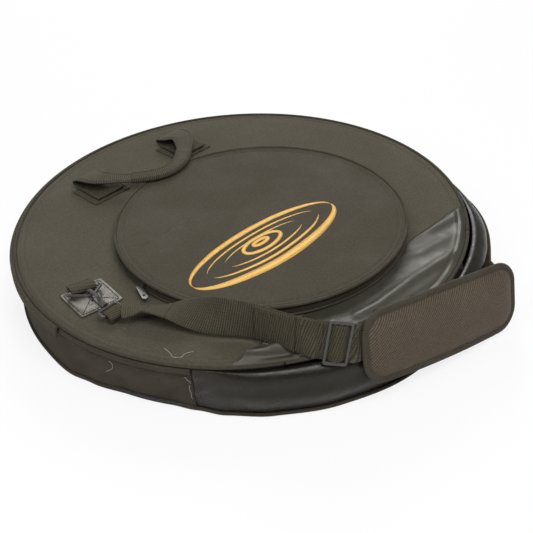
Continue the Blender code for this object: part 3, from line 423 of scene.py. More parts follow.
@dataclass(frozen=True)
class VinylFinish(Finish):
    """Soft coated vinyl with a fine grain, creases and a worn gloss."""

    roughness: float = 0.35
    worn: Colour = (0.09, 0.09, 0.08)
    crease: float = 0.4
    shine: float = 0.5
    dusty: float = 0.2

    def dress(self, nodes: Nodes, shader: bpy.types.Node, vector: bpy.types.NodeSocket) -> None:
        """Give the shader its grain, creases and uneven gloss.

        Args:
            nodes: The material's nodes.
            shader: Its Principled BSDF.
            vector: Where its patterns are read.
        """
        grain = nodes.group(grain_group(), Vector=vector, Crease=self.crease)
        dirt = nodes.group(soiling_group(), Vector=vector, Colour=(*self.colour, 1), Dust=(*self.worn, 1),
                           Amount=self.dusty, Lint=0.2)
        dull = nodes.math("MULTIPLY", grain.outputs["Wear"], 0.16)
        nodes.fill(shader, Base_Color=dirt.outputs["Colour"],
                   Roughness=nodes.math("ADD", self.roughness, dull),
                   Specular_IOR_Level=self.shine, Specular_Tint=(1.0, 0.95, 0.85, 1))
        self.bump(nodes, shader, grain.outputs["Height"], 0.25 * MM)


@dataclass(frozen=True)
class MouldedFinish(Finish):
    """Moulded plastic with handling marks."""

    on_cloth: bool = False
    roughness: float = 0.3
    metallic: float = 0.0
    marks: float = 0.25
    marked: Colour = (0.12, 0.12, 0.115)

    def dress(self, nodes: Nodes, shader: bpy.types.Node, vector: bpy.types.NodeSocket) -> None:
        """Give the shader its scuffs and fine moulded texture.

        Args:
            nodes: The material's nodes.
            shader: Its Principled BSDF.
            vector: Where its patterns are read.
        """
        scuff = nodes.group(scuff_group(), Vector=vector, Base=self.roughness, Amount=self.marks)
        colour = nodes.mix(scuff.outputs["Mark"], (*self.colour, 1), (*self.marked, 1))
        nodes.fill(shader, Base_Color=colour, Roughness=scuff.outputs["Roughness"], Metallic=self.metallic)
        self.bump(nodes, shader, scuff.outputs["Height"], 0.04 * MM)


@dataclass(frozen=True)
class PrintFinish(Finish):
    """Metallic screen print that is rubbed off a little where the cloth's threads stand up."""

    cloth: Colour = (0.05, 0.045, 0.037)

    def dress(self, nodes: Nodes, shader: bpy.types.Node, vector: bpy.types.NodeSocket) -> None:
        """Give the shader its shaded gold and its rubbed places.

        Args:
            nodes: The material's nodes.
            shader: Its Principled BSDF.
            vector: Where its patterns are read.
        """
        tone = nodes.add("ShaderNodeTexNoise", Vector=vector, Scale=24.0, Detail=3.0)
        rub = nodes.add("ShaderNodeTexNoise", Vector=vector, Scale=420.0, Detail=4.0)
        threads = nodes.group(weave_group(Weave.PLAIN), Vector=vector)
        pale = tuple(min(1.0, value * 1.35) for value in self.colour)
        gold = nodes.mix(tone.outputs["Fac"], (*self.colour, 1), (*pale, 1))
        bare = nodes.math("MULTIPLY", nodes.ramp(rub.outputs["Fac"], 0.6, 0.72), 0.7)
        nodes.fill(shader, Base_Color=nodes.mix(bare, gold, (*self.cloth, 1)),
                   Roughness=nodes.math("ADD", 0.42, nodes.math("MULTIPLY", bare, 0.4)),
                   Metallic=nodes.math("SUBTRACT", 0.35, nodes.math("MULTIPLY", bare, 0.35)))
        self.bump(nodes, shader, threads.outputs["Height"], 0.12 * MM)


@dataclass(frozen=True)
class Palette:
    """The finishes of the bag, named for what they cover."""

    panel: Finish = ClothFinish("panel_nylon", (0.104, 0.094, 0.068), threads=560, dusty=0.22)
    pocket: Finish = ClothFinish("pocket_nylon", (0.084, 0.074, 0.054), threads=560, dusty=0.18)
    wall: Finish = ClothFinish("wall_nylon", (0.062, 0.050, 0.038), threads=560, dusty=0.15, lint=0.3)
    flap: Finish = ClothFinish("flap_nylon", (0.072, 0.064, 0.046), threads=560, dusty=0.2)
    cord: Finish = ClothFinish("piping_cloth", (0.062, 0.056, 0.040), threads=620, dusty=0.3,
                               depth=0.2 * MM)
    tape: Finish = ClothFinish("zip_tape_cloth", (0.022, 0.021, 0.018), threads=800, lint=0.2)
    web: Finish = ClothFinish("strap_webbing", (0.068, 0.060, 0.040), weave=Weave.RIB, threads=330,
                              depth=0.5 * MM, dusty=0.25, roughness=0.75)
    patch: Finish = ClothFinish("patch_webbing", (0.085, 0.078, 0.055), weave=Weave.RIB, threads=330,
                                depth=0.5 * MM, dusty=0.3, roughness=0.7)
    pad: Finish = ClothFinish("pad_twill", (0.120, 0.093, 0.068), weave=Weave.TWILL, threads=250,
                              depth=0.4 * MM, dusty=0.25, dust=(0.17, 0.14, 0.105), sheen=0.1)
    binding: Finish = ClothFinish("pad_binding", (0.070, 0.058, 0.043), weave=Weave.RIB, threads=500,
                                  dusty=0.25)
    lining: Finish = ClothFinish("lining_cloth", (0.075, 0.075, 0.078), weave=Weave.FELT,
                                 depth=0.2 * MM, lint=0.3)
    foam: Finish = ClothFinish("padding_cover", (0.05, 0.05, 0.05), weave=Weave.FELT, lint=0.2)
    gloss: Finish = VinylFinish("wall_vinyl", (0.008, 0.0076, 0.0058), roughness=0.24, shine=0.36,
                                crease=0.1, worn=(0.03, 0.028, 0.022), dusty=0.12)
    # Same vinyl as the wall's but several times lighter: painted sheen in its colour, with real dust
    # patches on top.
    satin_painted_sheen: Finish = VinylFinish("front_vinyl", (0.030, 0.028, 0.020), roughness=0.38, crease=0.14,
                                worn=(0.09, 0.084, 0.066), dusty=0.25, shine=0.6)
    # Lighter than the other vinyl: painted reflection of the patch's shine in its colour.
    anchor: Finish = VinylFinish("anchor_vinyl_painted_shine", (0.058, 0.055, 0.042), roughness=0.3, crease=0.2,
                                 shine=0.8)
    coil: Finish = MouldedFinish("zip_coil_nylon", (0.030, 0.029, 0.025), roughness=0.4)
    plastic: Finish = MouldedFinish("buckle_plastic", (0.050, 0.048, 0.041), roughness=0.24)
    zinc: Finish = MouldedFinish("plated_zinc", (0.13, 0.125, 0.115), roughness=0.28, metallic=0.85,
                                 marked=(0.4, 0.38, 0.35))
    thread: Finish = ClothFinish("sewing_thread", (0.125, 0.115, 0.085), weave=Weave.FELT, lint=0.0)
    loose: Finish = ClothFinish("loose_thread", (0.62, 0.60, 0.55), weave=Weave.FELT, lint=0.0)
    gold: Finish = PrintFinish("gold_print", (0.60, 0.35, 0.075))


FINISH = Palette()


# Shaping tools


def smooth(share: float) -> float:
    """A share kept from 0 to 1 and eased at both ends."""
    kept = max(0.0, min(1.0, share))
    return kept * kept * (3 - 2 * kept)


def rough(x: float, y: float, z: float, scale: float) -> float:
    """Steady noise from about -1 to 1 at a place in metres, with bumps of about scale metres."""
    return noise.noise(Vector((x, y, z)) / scale)


def polar(radius: float, angle: float, z: float = 0.0, centre_y: float = 0.0) -> Vector:
    """A place at a radius in metres and an angle in degrees from +X, about a middle on the Y axis."""
    turn = angle * DEG
    return Vector((radius * math.cos(turn), centre_y + radius * math.sin(turn), z))


def map_flat(bm: bmesh.types.BMesh) -> bmesh.types.BMesh:
    """Take a mesh's X and Y for the cloth's UV map.

    Args:
        bm: The mesh.

    Returns:
        The same mesh.
    """
    layer = bm.loops.layers.uv.get(UV) or bm.loops.layers.uv.new(UV)
    for face in bm.faces:
        for loop in face.loops:
            loop[layer].uv = loop.vert.co.xy
    return bm


def girth(section: Sequence[tuple[float, float]], rise: float = 1.0) -> list[float]:
    """Length round a section at each of its points.

    Args:
        section: Its points, in mm across and mm or shares up.
        rise: What one unit up is in mm.

    Returns:
        The lengths in metres.
    """
    total = [0.0]
    for (a, b), (c, d) in zip(section, section[1:]):
        total.append(total[-1] + math.hypot(c - a, (d - b) * rise) * MM)
    return total


def joined(parts: Sequence[bmesh.types.BMesh]) -> bmesh.types.BMesh:
    """Put several meshes together.

    Args:
        parts: The meshes, which are freed.

    Returns:
        The new mesh.
    """
    made = bmesh.new()
    made.loops.layers.uv.new(UV)
    for part in parts:
        mesh = bpy.data.meshes.new("part")
        part.to_mesh(mesh)
        part.free()
        made.from_mesh(mesh)
        bpy.data.meshes.remove(mesh)
    return made


def grid_mesh(us: Sequence[float], vs: Sequence[float], spot: Spot, capped: bool = False,
              outward: Callable[[Vector], Vector] | None = None) -> bmesh.types.BMesh:
    """A grid laid over a surface, with its real lengths as the cloth's UV map.

    Args:
        us: Length along the first side at each column, in metres.
        vs: Length along the second side at each row, in metres.
        spot: Place of the point at a column and a row.
        capped: Whether open ends are closed.
        outward: For an open sheet, the direction that its face turns to at a place.

    Returns:
        The mesh, whose doubled points are merged.
    """
    columns, rows = len(us) - 1, len(vs) - 1
    bm = bmesh.new()
    bmesh.ops.create_grid(bm, x_segments=columns, y_segments=rows, size=0.5)
    layer = bm.loops.layers.uv.new(UV)
    cells = {v: (round((v.co.x + 0.5) * columns), round((v.co.y + 0.5) * rows)) for v in bm.verts}
    for face in bm.faces:
        for loop in face.loops:
            i, j = cells[loop.vert]
            loop[layer].uv = (us[i], vs[j])
    for vert, (i, j) in cells.items():
        vert.co = spot(i, j)
    bmesh.ops.remove_doubles(bm, verts=bm.verts, dist=0.01 * MM)
    if capped:
        bmesh.ops.holes_fill(bm, edges=[e for e in bm.edges if e.is_boundary], sides=0)
    if outward is None:
        bmesh.ops.recalc_face_normals(bm, faces=bm.faces)
    else:
        bm.normal_update()
        turned = sum(f.normal.dot(outward(f.calc_center_median())) * f.calc_area() for f in bm.faces)
        if turned < 0:
            bmesh.ops.reverse_faces(bm, faces=bm.faces)
    return bm


def finished(name: str, bm: bmesh.types.BMesh, finish: Finish, thickness: float = 0.0,
             offset: float = -1.0) -> bpy.types.Object:
    """Turn a mesh into a smooth object with its finish.

    Args:
        name: The piece's name.
        bm: The mesh, which is freed.
        finish: What it is made of.
        thickness: Thickness that a Solidify modifier gives a sheet, or 0.
        offset: Solidify's offset, -1 to thicken inwards.

    Returns:
        The new object.
    """
    mesh = bpy.data.meshes.new(name)
    bm.to_mesh(mesh)
    bm.free()
    mesh.polygons.foreach_set("use_smooth", [True] * len(mesh.polygons))
    item = bpy.data.objects.new(name, mesh)
    bpy.context.scene.collection.objects.link(item)
    item.data.materials.append(finish.material())
    if thickness:
        solid = item.modifiers.new("thickness", "SOLIDIFY")
        solid.thickness = thickness
        solid.offset = offset
        solid.use_even_offset = False
    LOG.info("%s: %d faces", name, len(mesh.polygons))
    return item


def settle(item: bpy.types.Object, body: str, slot: str, *nodes: str) -> bpy.types.Object:
    """Let a piece ride on a body and stand for CAD nodes.

    Args:
        item: The piece.
        body: The CAD body that it moves with.
        slot: The record's material slot. Not used.
        nodes: The CAD nodes that it stands for.

    Returns:
        The same piece.
    """
    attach(item, body)
    if nodes:
        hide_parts(*nodes)
    return item


def lengths(points: Sequence[Vector]) -> list[float]:
    """Length along a line at each of its points.

    Args:
        points: The line's points.

    Returns:
        The lengths, from 0.
    """
    total = [0.0]
    for here, there in zip(points, points[1:]):
        total.append(total[-1] + (there - here).length)
    return total


def resampled(points: Sequence[Vector], step: float, closed: bool = False) -> list[Vector]:
    """Points at even steps along a line.

    Args:
        points: The line's points.
        step: Distance between the new points, about.
        closed: Whether the line comes back to its first point.

    Returns:
        The new points, with the last one left out of a closed line.
    """
    line = list(points) + ([points[0]] if closed else [])
    at = lengths(line)
    count = max(1, round(at[-1] / step))
    result, index = [], 0
    for n in range(count + (0 if closed else 1)):
        goal = at[-1] * n / count
        while index < len(at) - 2 and at[index + 1] < goal:
            index += 1
        span = at[index + 1] - at[index] or 1
        result.append(line[index].lerp(line[index + 1], (goal - at[index]) / span))
    return result


def eased(points: Sequence[Sequence[float]], steps: int) -> list[list[float]]:
    """A smooth curve through chosen places, with their other values eased too.

    Args:
        points: Places with any further values.
        steps: New points to each span.

    Returns:
        The eased places.
    """
    route = []
    for n in range(len(points) - 1):
        before, here = points[max(n - 1, 0)], points[n]
        there, after = points[n + 1], points[min(n + 2, len(points) - 1)]
        for step in range(steps):
            t = step / steps
            route.append([0.5 * (2 * b + (c - a) * t + (2 * a - 5 * b + 4 * c - d) * t * t
                                 + (3 * b - a - 3 * c + d) * t ** 3)
                          for a, b, c, d in zip(before, here, there, after)])
    return route + [list(points[-1])]


def arc(radius: float, start: float, end: float, step: float, z: float = 0.0,
        centre_y: float = 0.0) -> list[Vector]:
    """Points of a level arc.

    Args:
        radius: Its radius.
        start: Where it starts, in degrees from +X.
        end: Where it ends, in degrees.
        step: Distance between points, about.
        z: Its height.
        centre_y: Y of its middle.

    Returns:
        The points, both ends among them.
    """
    count = max(2, round(abs(end - start) * DEG * radius / step))
    return [polar(radius, start + (end - start) * n / count, z, centre_y) for n in range(count + 1)]


def tube(path: Sequence[Vector], radius: float, around: int = 10, closed: bool = False,
         flat: float = 1.0) -> bmesh.types.BMesh:
    """A round or flattened cord along a line.

    Args:
        path: The line's points.
        radius: The cord's radius.
        around: Sides round the cord.
        closed: Whether the line comes back to its first point.
        flat: Share of the radius kept upwards.

    Returns:
        The mesh.
    """
    line = list(path) + ([path[0]] if closed else [])
    count = len(line) - 1
    frames = []
    for n, point in enumerate(line):
        ahead = line[1] if closed and n == count else line[min(n + 1, count)]
        behind = line[count - 1] if closed and n == 0 else line[max(n - 1, 0)]
        along = (ahead - behind).normalized()
        side = along.cross(UP)
        side = side.normalized() if side.length > 0.05 else along.orthogonal().normalized()
        frames.append((point, side, side.cross(along).normalized()))
    turns = [2 * math.pi * k / around for k in range(around + 1)]

    def spot(i: int, j: int) -> Vector:
        """Place on the cord's skin."""
        point, side, top = frames[j]
        turn = turns[i % around]
        return point + side * radius * math.cos(turn) + top * radius * flat * math.sin(turn)

    return grid_mesh([radius * t for t in turns], lengths(line), spot, capped=not closed)


@dataclass
class Station:
    """One section of a flat strap: its middle, directions and width."""

    middle: Vector
    across: Vector
    normal: Vector
    width: float


def band(stations: Sequence[Station], thickness: float, columns: int = 10,
         cup: float = 0.0) -> bmesh.types.BMesh:
    """A flat strap with rounded edges through its stations.

    Args:
        stations: The strap's sections in order.
        thickness: Its thickness.
        columns: Faces across each side.
        cup: How far its middle stands out from its edges.

    Returns:
        The closed mesh.
    """
    half = thickness / 2
    shares = [2 * k / columns - 1 for k in range(columns + 1)]
    ring = [(s, 1.0) for s in shares] + [(1.0, 0.4), (1.0, -0.4)]
    ring += [(s, -1.0) for s in reversed(shares)] + [(-1.0, -0.4), (-1.0, 0.4)]
    ring.append(ring[0])
    mean = sum(s.width for s in stations) / len(stations)
    us = [0.0]
    for (a, b), (c, d) in zip(ring, ring[1:]):
        us.append(us[-1] + math.hypot((c - a) * mean / 2, (d - b) * half))

    def spot(i: int, j: int) -> Vector:
        """Place on the strap's skin."""
        at = stations[j]
        side, level = ring[i]
        inset = half * 0.45 if abs(level) == 1.0 and abs(side) == 1.0 else 0.0
        reach = side * (at.width / 2 - inset)
        return at.middle + at.across * reach + at.normal * (level * half + cup * (1 - side * side))

    return grid_mesh(us, lengths([s.middle for s in stations]), spot, capped=True)


def leaning(along: Vector, lean: float) -> tuple[Vector, Vector]:
    """Directions across and out of a strap that runs one way with a lean from level."""
    across = Matrix.Rotation(lean * DEG, 3, along) @ along.cross(UP).normalized()
    return across, across.cross(along)


def leaning_stations(spots: Sequence[Sequence[float]]) -> list[Station]:
    """Stations from places with a width and a lean in degrees at each.

    Args:
        spots: X, Y, Z, width and lean.

    Returns:
        The stations.
    """
    places = [Vector(s[:3]) for s in spots]
    result = []
    for n, place in enumerate(places):
        along = (places[min(n + 1, len(places) - 1)] - places[max(n - 1, 0)]).normalized()
        across, normal = leaning(along, spots[n][4])
        result.append(Station(place, across, normal, spots[n][3]))
    return result


def bent_stations(points: Sequence[Vector], across: Vector, width: float) -> list[Station]:
    """Stations of a strap that bends about one direction across it.

    Args:
        points: Places along its middle.
        across: The direction that it bends about.
        width: Its width.

    Returns:
        The stations.
    """
    result = []
    for n, point in enumerate(points):
        along = (points[min(n + 1, len(points) - 1)] - points[max(n - 1, 0)]).normalized()
        result.append(Station(point, across, across.cross(along).normalized(), width))
    return result


def fan(outline: Sequence[Vector], centre: Vector, height: Height, rings: int,
        edge: float = 0.0) -> bmesh.types.BMesh:
    """A flat piece filled from its middle to its outline, with more rings near its edge.

    Args:
        outline: Its closed outline, whose first point isn't repeated.
        centre: A place inside it from which all of its outline is seen.
        height: Height of the cloth at X and Y.
        rings: Rings from the middle to the edge.
        edge: How far the outermost ring turns down.

    Returns:
        The open sheet, facing up, with its X and Y as the cloth's UV map.
    """
    loop = list(outline) + [outline[0]]

    def spot(i: int, j: int) -> Vector:
        """Place on the sheet."""
        share = 1 - (1 - j / rings) ** 1.6
        flat = centre.lerp(loop[i], share)
        fall = edge * smooth((share - 0.985) / 0.015)
        return Vector((flat.x, flat.y, height(flat.x, flat.y) - fall))

    return map_flat(grid_mesh([0.0] * len(loop), [0.0] * (rings + 1), spot, outward=lambda p: UP))


def stitches(name: str, paths: Sequence[Sequence[Vector]], pitch: float = 3.6 * MM,
             radius: float = 0.42 * MM) -> bpy.types.Object:
    """Rows of sewn stitches that stand a little proud of the cloth.

    Args:
        name: The piece's name.
        paths: Lines that the rows follow.
        pitch: Distance from one stitch to the next.
        radius: Radius of the thread.

    Returns:
        The stitches as one object.
    """
    bm = bmesh.new()
    for path in paths:
        marks = resampled(path, pitch)
        for here, there in zip(marks, marks[1:]):
            along = there - here
            turn = along.to_track_quat("Z", "Y").to_matrix().to_4x4()
            place = Matrix.Translation(here.lerp(there, 0.5)) @ turn
            bmesh.ops.create_cone(bm, cap_ends=True, segments=6, radius1=radius, radius2=radius,
                                  depth=along.length * 0.72, matrix=place)
    return finished(name, map_flat(bm), FINISH.thread)


def ribbon(path: Sequence[Vector], width: float, lift: float, height: Height,
           closed: bool = False) -> bmesh.types.BMesh:
    """A narrow flat line that lies on the cloth and thins to a point at both ends, unless it is closed.

    Args:
        path: Its middle line, of which only X and Y count.
        width: Its width.
        lift: How far it lies over the cloth.
        height: Height of the cloth at X and Y.
        closed: Whether the line comes back to its first point.

    Returns:
        The open sheet, facing up.
    """
    line = list(path) + ([path[0]] if closed else [])
    count = len(line) - 1

    def spot(i: int, j: int) -> Vector:
        """Place on the line."""
        ahead = line[1] if closed and j == count else line[min(j + 1, count)]
        behind = line[count - 1] if closed and j == 0 else line[max(j - 1, 0)]
        along = (ahead - behind).normalized()
        full = 1.0 if closed else math.sin(math.pi * (j + 0.3) / (count + 0.6)) ** 0.8
        point = line[j] + Vector((-along.y, along.x, 0)) * width * full * (i / 2 - 0.5)
        return Vector((point.x, point.y, height(point.x, point.y) + lift))

    return grid_mesh([0, width / 2, width], lengths(line), spot, outward=lambda p: UP)


# Surfaces of the bag that several pieces lie on


def distance_to(x: float, y: float, line: Sequence[tuple[float, float]]) -> float:
    """Distance from a place to a line.

    Args:
        x: The place's X.
        y: Its Y.
        line: The line's points, in mm.

    Returns:
        The distance in metres, 1 at most.
    """
    best = 1.0
    here = Vector((x, y))
    for first, second in zip(line, line[1:]):
        a, b = Vector(first) * MM, Vector(second) * MM
        share = max(0.0, min(1.0, (here - a).dot(b - a) / (b - a).length_squared))
        best = min(best, (here - a.lerp(b, share)).length)
    return best


def ridge(x: float, y: float, line: Sequence[tuple[float, float]], height: float, width: float) -> float:
    """Height in metres of a rounded fold along a line in mm, of a height and half width in mm."""
    return height * MM * math.exp(-(distance_to(x, y, line) / (width * MM)) ** 2)


def lid_height(x: float, y: float) -> float:
    """Height of the front panel's cloth: slack in the middle, sewn down and rolled at its rim.

    Args:
        x: The place's X.
        y: Its Y.

    Returns:
        The height of the cloth's upper face.
    """
    out = math.hypot(x, y)
    slack = 0.7 * MM * (1 + rough(x, y, 0, 90 * MM)) + 0.25 * MM * (1 + rough(x, y, 3, 28 * MM))
    seam = 1.2 * MM * math.exp(-((out - 307 * MM) / (2.0 * MM)) ** 2)
    roll = 2.6 * MM * smooth((out - 311 * MM) / (6.3 * MM))
    return BAG_TOP - slack * smooth((304 * MM - out) / (40 * MM)) - seam - roll


# Line in mm, height and half width in mm of each fold in the front's vinyl
VINYL_FOLDS = (
    (((190, -250), (135, -284), (98, -279), (41, -275), (-28, -276), (-60, -270)), 4.2, 8),
    (((-238, -199), (-196, -228), (-150, -256), (-100, -274)), 9.0, 8.0),
    (((-214, -232), (-168, -262), (-120, -284)), -3.5, 4.5),
    (((-216, -208), (-180, -228), (-130, -248)), -2.6, 4),
    (((150, -222), (196, -228), (240, -204)), 3.0, 9),
    (((120, -298), (60, -303), (0, -300)), -2.0, 7),
    (((-60, -228), (-20, -242), (30, -236)), 1.8, 10),
    (((60, -224), (100, -246), (150, -252)), 2.0, 8),
    (((-205, -212), (-212, -232)), 2.2, 5),
    (((-180, -216), (-176, -240)), 2.4, 5),
    (((-152, -222), (-142, -246)), 2.0, 5),
    (((-120, -228), (-108, -256)), 1.8, 6),
)


def vinyl_height(x: float, y: float) -> float:
    """Height of the vinyl at the front's lower edge, with its folds and puckers.

    Args:
        x: The place's X.
        y: Its Y.

    Returns:
        The height of the cloth's upper face.
    """
    out = math.hypot(x, y)
    held = smooth((317 * MM - out) / (14 * MM)) * smooth((CHORD_Y - y) / (5 * MM))
    folds = sum(ridge(x, y, line, high, wide) for line, high, wide in VINYL_FOLDS)
    return lid_height(x, y) + held * (folds + 0.7 * MM * rough(x, y, 7, 26 * MM))


def pocket_height(x: float, y: float) -> float:
    """Height of the pocket's face: slack, with two soft dents and a sewn edge.

    Args:
        x: The place's X.
        y: Its Y.

    Returns:
        The height of the cloth's upper face.
    """
    out = math.hypot(x, y - POCKET_Y)
    seam = 0.9 * MM * math.exp(-((out - 192 * MM) / (1.8 * MM)) ** 2)
    dents = ridge(x, y, ((60, 84), (74, 70)), 2.4, 26) + ridge(x, y, ((-70, 96), (-48, 76)), 2.0, 20)
    slack = 0.6 * MM * rough(x, y, 11, 70 * MM) + 0.3 * MM * rough(x, y, 2, 22 * MM)
    droop = 1.5 * MM * smooth((186 * MM - out) / (120 * MM))
    held = smooth((196 * MM - out) / (20 * MM))
    return POCKET_TOP - seam - (dents + slack + droop) * held


def wall_top(angle: float) -> float:
    """Height of the side wall's upper edge, which laps over the zip at the vinyl."""
    turned = angle % 360
    lapped = smooth((turned - 214.96) / 0.04) * smooth((352 - turned) / 26)
    return (63.7 + 8.4 * lapped) * MM


# Angles in degrees, and how far the bag's bottom edge stands out there in mm
FOOT = ((170, 0), (181, 2), (188, -3), (198, -9), (209, -9), (215, -5), (222, 2), (232, 8), (246, 14),
        (262, 18), (280, 16), (301, 0))


def foot(angle: float) -> float:
    """How far the bag's bottom edge spreads, where its weight rests or is drawn in.

    Args:
        angle: Where, in degrees from +X.

    Returns:
        The distance outwards.
    """
    turned = angle % 360
    for (low, first), (high, second) in zip(FOOT, FOOT[1:]):
        if low <= turned <= high:
            return (first + (second - first) * smooth((turned - low) / (high - low))) * MM
    return 0.0


def spread(bm: bmesh.types.BMesh) -> bmesh.types.BMesh:
    """Move the parts of a mesh near the bag's bottom edge out with that edge.

    Args:
        bm: The mesh.

    Returns:
        The same mesh.
    """
    for vert in bm.verts:
        out = math.hypot(vert.co.x, vert.co.y)
        if out > 240 * MM:
            far = smooth((out - 240 * MM) / (76 * MM)) * smooth((56 * MM - vert.co.z) / (52 * MM))
            grown = 1 + foot(math.degrees(math.atan2(vert.co.y, vert.co.x))) * far / out
            vert.co.x *= grown
            vert.co.y *= grown
    return bm


def wall_radius(angle: float, z: float) -> float:
    """Radius of the side wall's cloth, before its foot spreads.

    Args:
        angle: Where round the bag, in degrees from +X.
        z: How high, in metres.

    Returns:
        The radius.
    """
    turned = angle % 360
    top = wall_top(turned)
    share = max(0.0, min(1.0, (z - 5.4 * MM) / (top - 5.4 * MM)))
    round_at, level = 0.7, 0.52
    if share > round_at:
        full = math.sqrt(max(0.0, 1 - ((share - round_at) / (1.004 - round_at)) ** 2))
    else:
        full = smooth(min(1.0, share / level)) ** 0.8
    bulge = 27 * smooth(min((turned - 215) / 93, (345 - turned) / 37))
    bulge += 11 * smooth((turned - 214.5) / 15) * smooth((292 - turned) / 50)
    vinyl = smooth((turned - 214.9) / 0.2) * smooth((352 - turned) / 26)
    middle = math.sin(math.pi * share)
    run = turned * DEG * SEAM_RADIUS
    lean = Vector((run * 0.8 + z * 0.6, (z * 0.8 - run * 0.6)))
    creased = smooth((turned - 176) / 12) * smooth((222 - turned) / 8)
    soft = rough(lean.x / 3.2, lean.y, 0, 13 * MM) * (0.5 + 2.6 * creased)
    tucks = rough(run, z * 0.3, 5, 24 * MM) * 1.2 * smooth((turned - 215) / 12) * smooth((330 - turned) / 8)
    lap = 2.9 * vinyl * smooth((share - 0.5) / 0.4)
    return (319.2 + bulge * full + lap + (0.9 + soft + tucks * (0.4 + share)) * middle) * MM


# The bag's pieces


@dataclass
class Panels:
    """The front and back panels, which are woven above the chord and vinyl below it."""

    radius: float = PANEL_RADIUS
    rings: int = 70
    step: float = 7 * MM
    seam_gap: float = 0.15 * MM
    middle_y: float = 60 * MM
    vinyl_middle_y: float = -262 * MM
    back_thickness: float = 3.7 * MM
    lining_radius: float = 314 * MM
    lining_thickness: float = 1.2 * MM

    def cut(self, radius: float, low: float | None, high: float | None) -> list[Vector]:
        """Outline of a disc cut by lines along X.

        Args:
            radius: The disc's radius.
            low: Y of the lower cut, or None.
            high: Y of the upper cut, or None.

        Returns:
            The outline, anticlockwise, with its first point not repeated.
        """
        first = -90.0 if low is None else math.degrees(math.asin(low / radius))
        last = 90.0 if high is None else math.degrees(math.asin(high / radius))
        right = arc(radius, first, last, self.step)
        left = arc(radius, 180 - last, 180 - first, self.step)
        across = left[1:] if high is None else resampled([right[-1], left[0]], self.step)[1:-1] + left
        if low is None:
            return right + across[:-1]
        return right + across + resampled([left[-1], right[0]], self.step)[1:-1]

    def build(self) -> None:
        """Build the front, the vinyl across the fold, the back and the linings."""
        outline = self.cut(self.radius, CHORD_Y + self.seam_gap, None)
        front = fan(outline, Vector((0, self.middle_y, 0)), lid_height, self.rings)
        settle(finished("front_cloth", front, FINISH.panel, FABRIC), "lid", "woven_nylon", "front_panel")
        self.build_front_vinyl()
        self.build_back()
        self.build_linings()

    def build_front_vinyl(self) -> None:
        """The vinyl at the front's lower edge, one cloth that runs across where the lid folds."""
        rows, columns = 44, 150

        def spot(i: int, j: int) -> Vector:
            """Place on the vinyl, from the chord out to the seam."""
            share = j / rows
            half = math.sqrt(self.radius ** 2 - CHORD_Y ** 2)
            x = half * math.sin((i / columns - 0.5) * math.pi)
            low = -math.sqrt(max(self.radius ** 2 - x * x, CHORD_Y ** 2))
            y = CHORD_Y - self.seam_gap + (low - CHORD_Y + self.seam_gap) * share
            return Vector((x, y, vinyl_height(x, y)))

        bm = grid_mesh([i * 3 * MM for i in range(columns + 1)], [j * 2.4 * MM for j in range(rows + 1)],
                       spot, outward=lambda p: UP)
        item = finished("front_vinyl", map_flat(bm), FINISH.satin_painted_sheen, FABRIC)
        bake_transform(item)
        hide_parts("front_vinyl_panel", "lid_vinyl_panel")
        edge = [Vector((x * MM, CHORD_Y + 1.6 * MM, 0)) for x in range(-224, 225, 4)]
        seam = [Vector((p.x, p.y, lid_height(p.x, p.y) + 0.3 * MM)) for p in edge]
        settle(stitches("chord_stitches", [seam]), "lid", "vinyl")

    def build_back(self) -> None:
        """The two parts of the back panel, which lie flat on what carries the bag."""
        thick = self.back_thickness

        def flat(x: float, y: float) -> float:
            """Height of the back's inner face."""
            return thick + 0.15 * MM

        outline = self.cut(self.radius, CHORD_Y + self.seam_gap, None)
        woven = spread(fan(outline, Vector((0, self.middle_y, 0)), flat, 24))
        settle(finished("back_cloth", woven, FINISH.panel, thick), "shell", "woven_nylon", "back_panel")
        outline = self.cut(self.radius, None, CHORD_Y - self.seam_gap)
        vinyl = spread(fan(outline, Vector((0, self.vinyl_middle_y, 0)), flat, 16))
        settle(finished("back_vinyl", vinyl, FINISH.gloss, thick), "shell", "vinyl", "back_vinyl_panel")
        seam = [Vector((x * MM, CHORD_Y - 2.5 * MM, 0.2 * MM)) for x in range(-224, 225, 4)]
        rim = arc(306 * MM, 0, 359.5, 4 * MM, 0.2 * MM)
        settle(stitches("back_stitches", [seam, rim], radius=0.35 * MM), "shell", "vinyl")

    def build_linings(self) -> None:
        """The brushed linings inside the back and the front."""
        outline = arc(self.lining_radius, 0, 360, self.step)[:-1]
        low = fan(outline, Vector(), lambda x, y: 5.7 * MM + 0.2 * MM * rough(x, y, 0, 40 * MM), 30)
        low = finished("back_lining_cloth", low, FINISH.lining, self.lining_thickness)
        settle(low, "shell", "lining", "back_lining")
        outline = self.cut(self.lining_radius, FOLD_Y, None)
        high = fan(outline, Vector((0, 20 * MM, 0)),
                   lambda x, y: 73.5 * MM + 0.15 * MM * rough(x, y, 4, 40 * MM), 30)
        high = finished("front_lining_cloth", high, FINISH.lining, self.lining_thickness)
        settle(high, "lid", "lining", "front_lining")


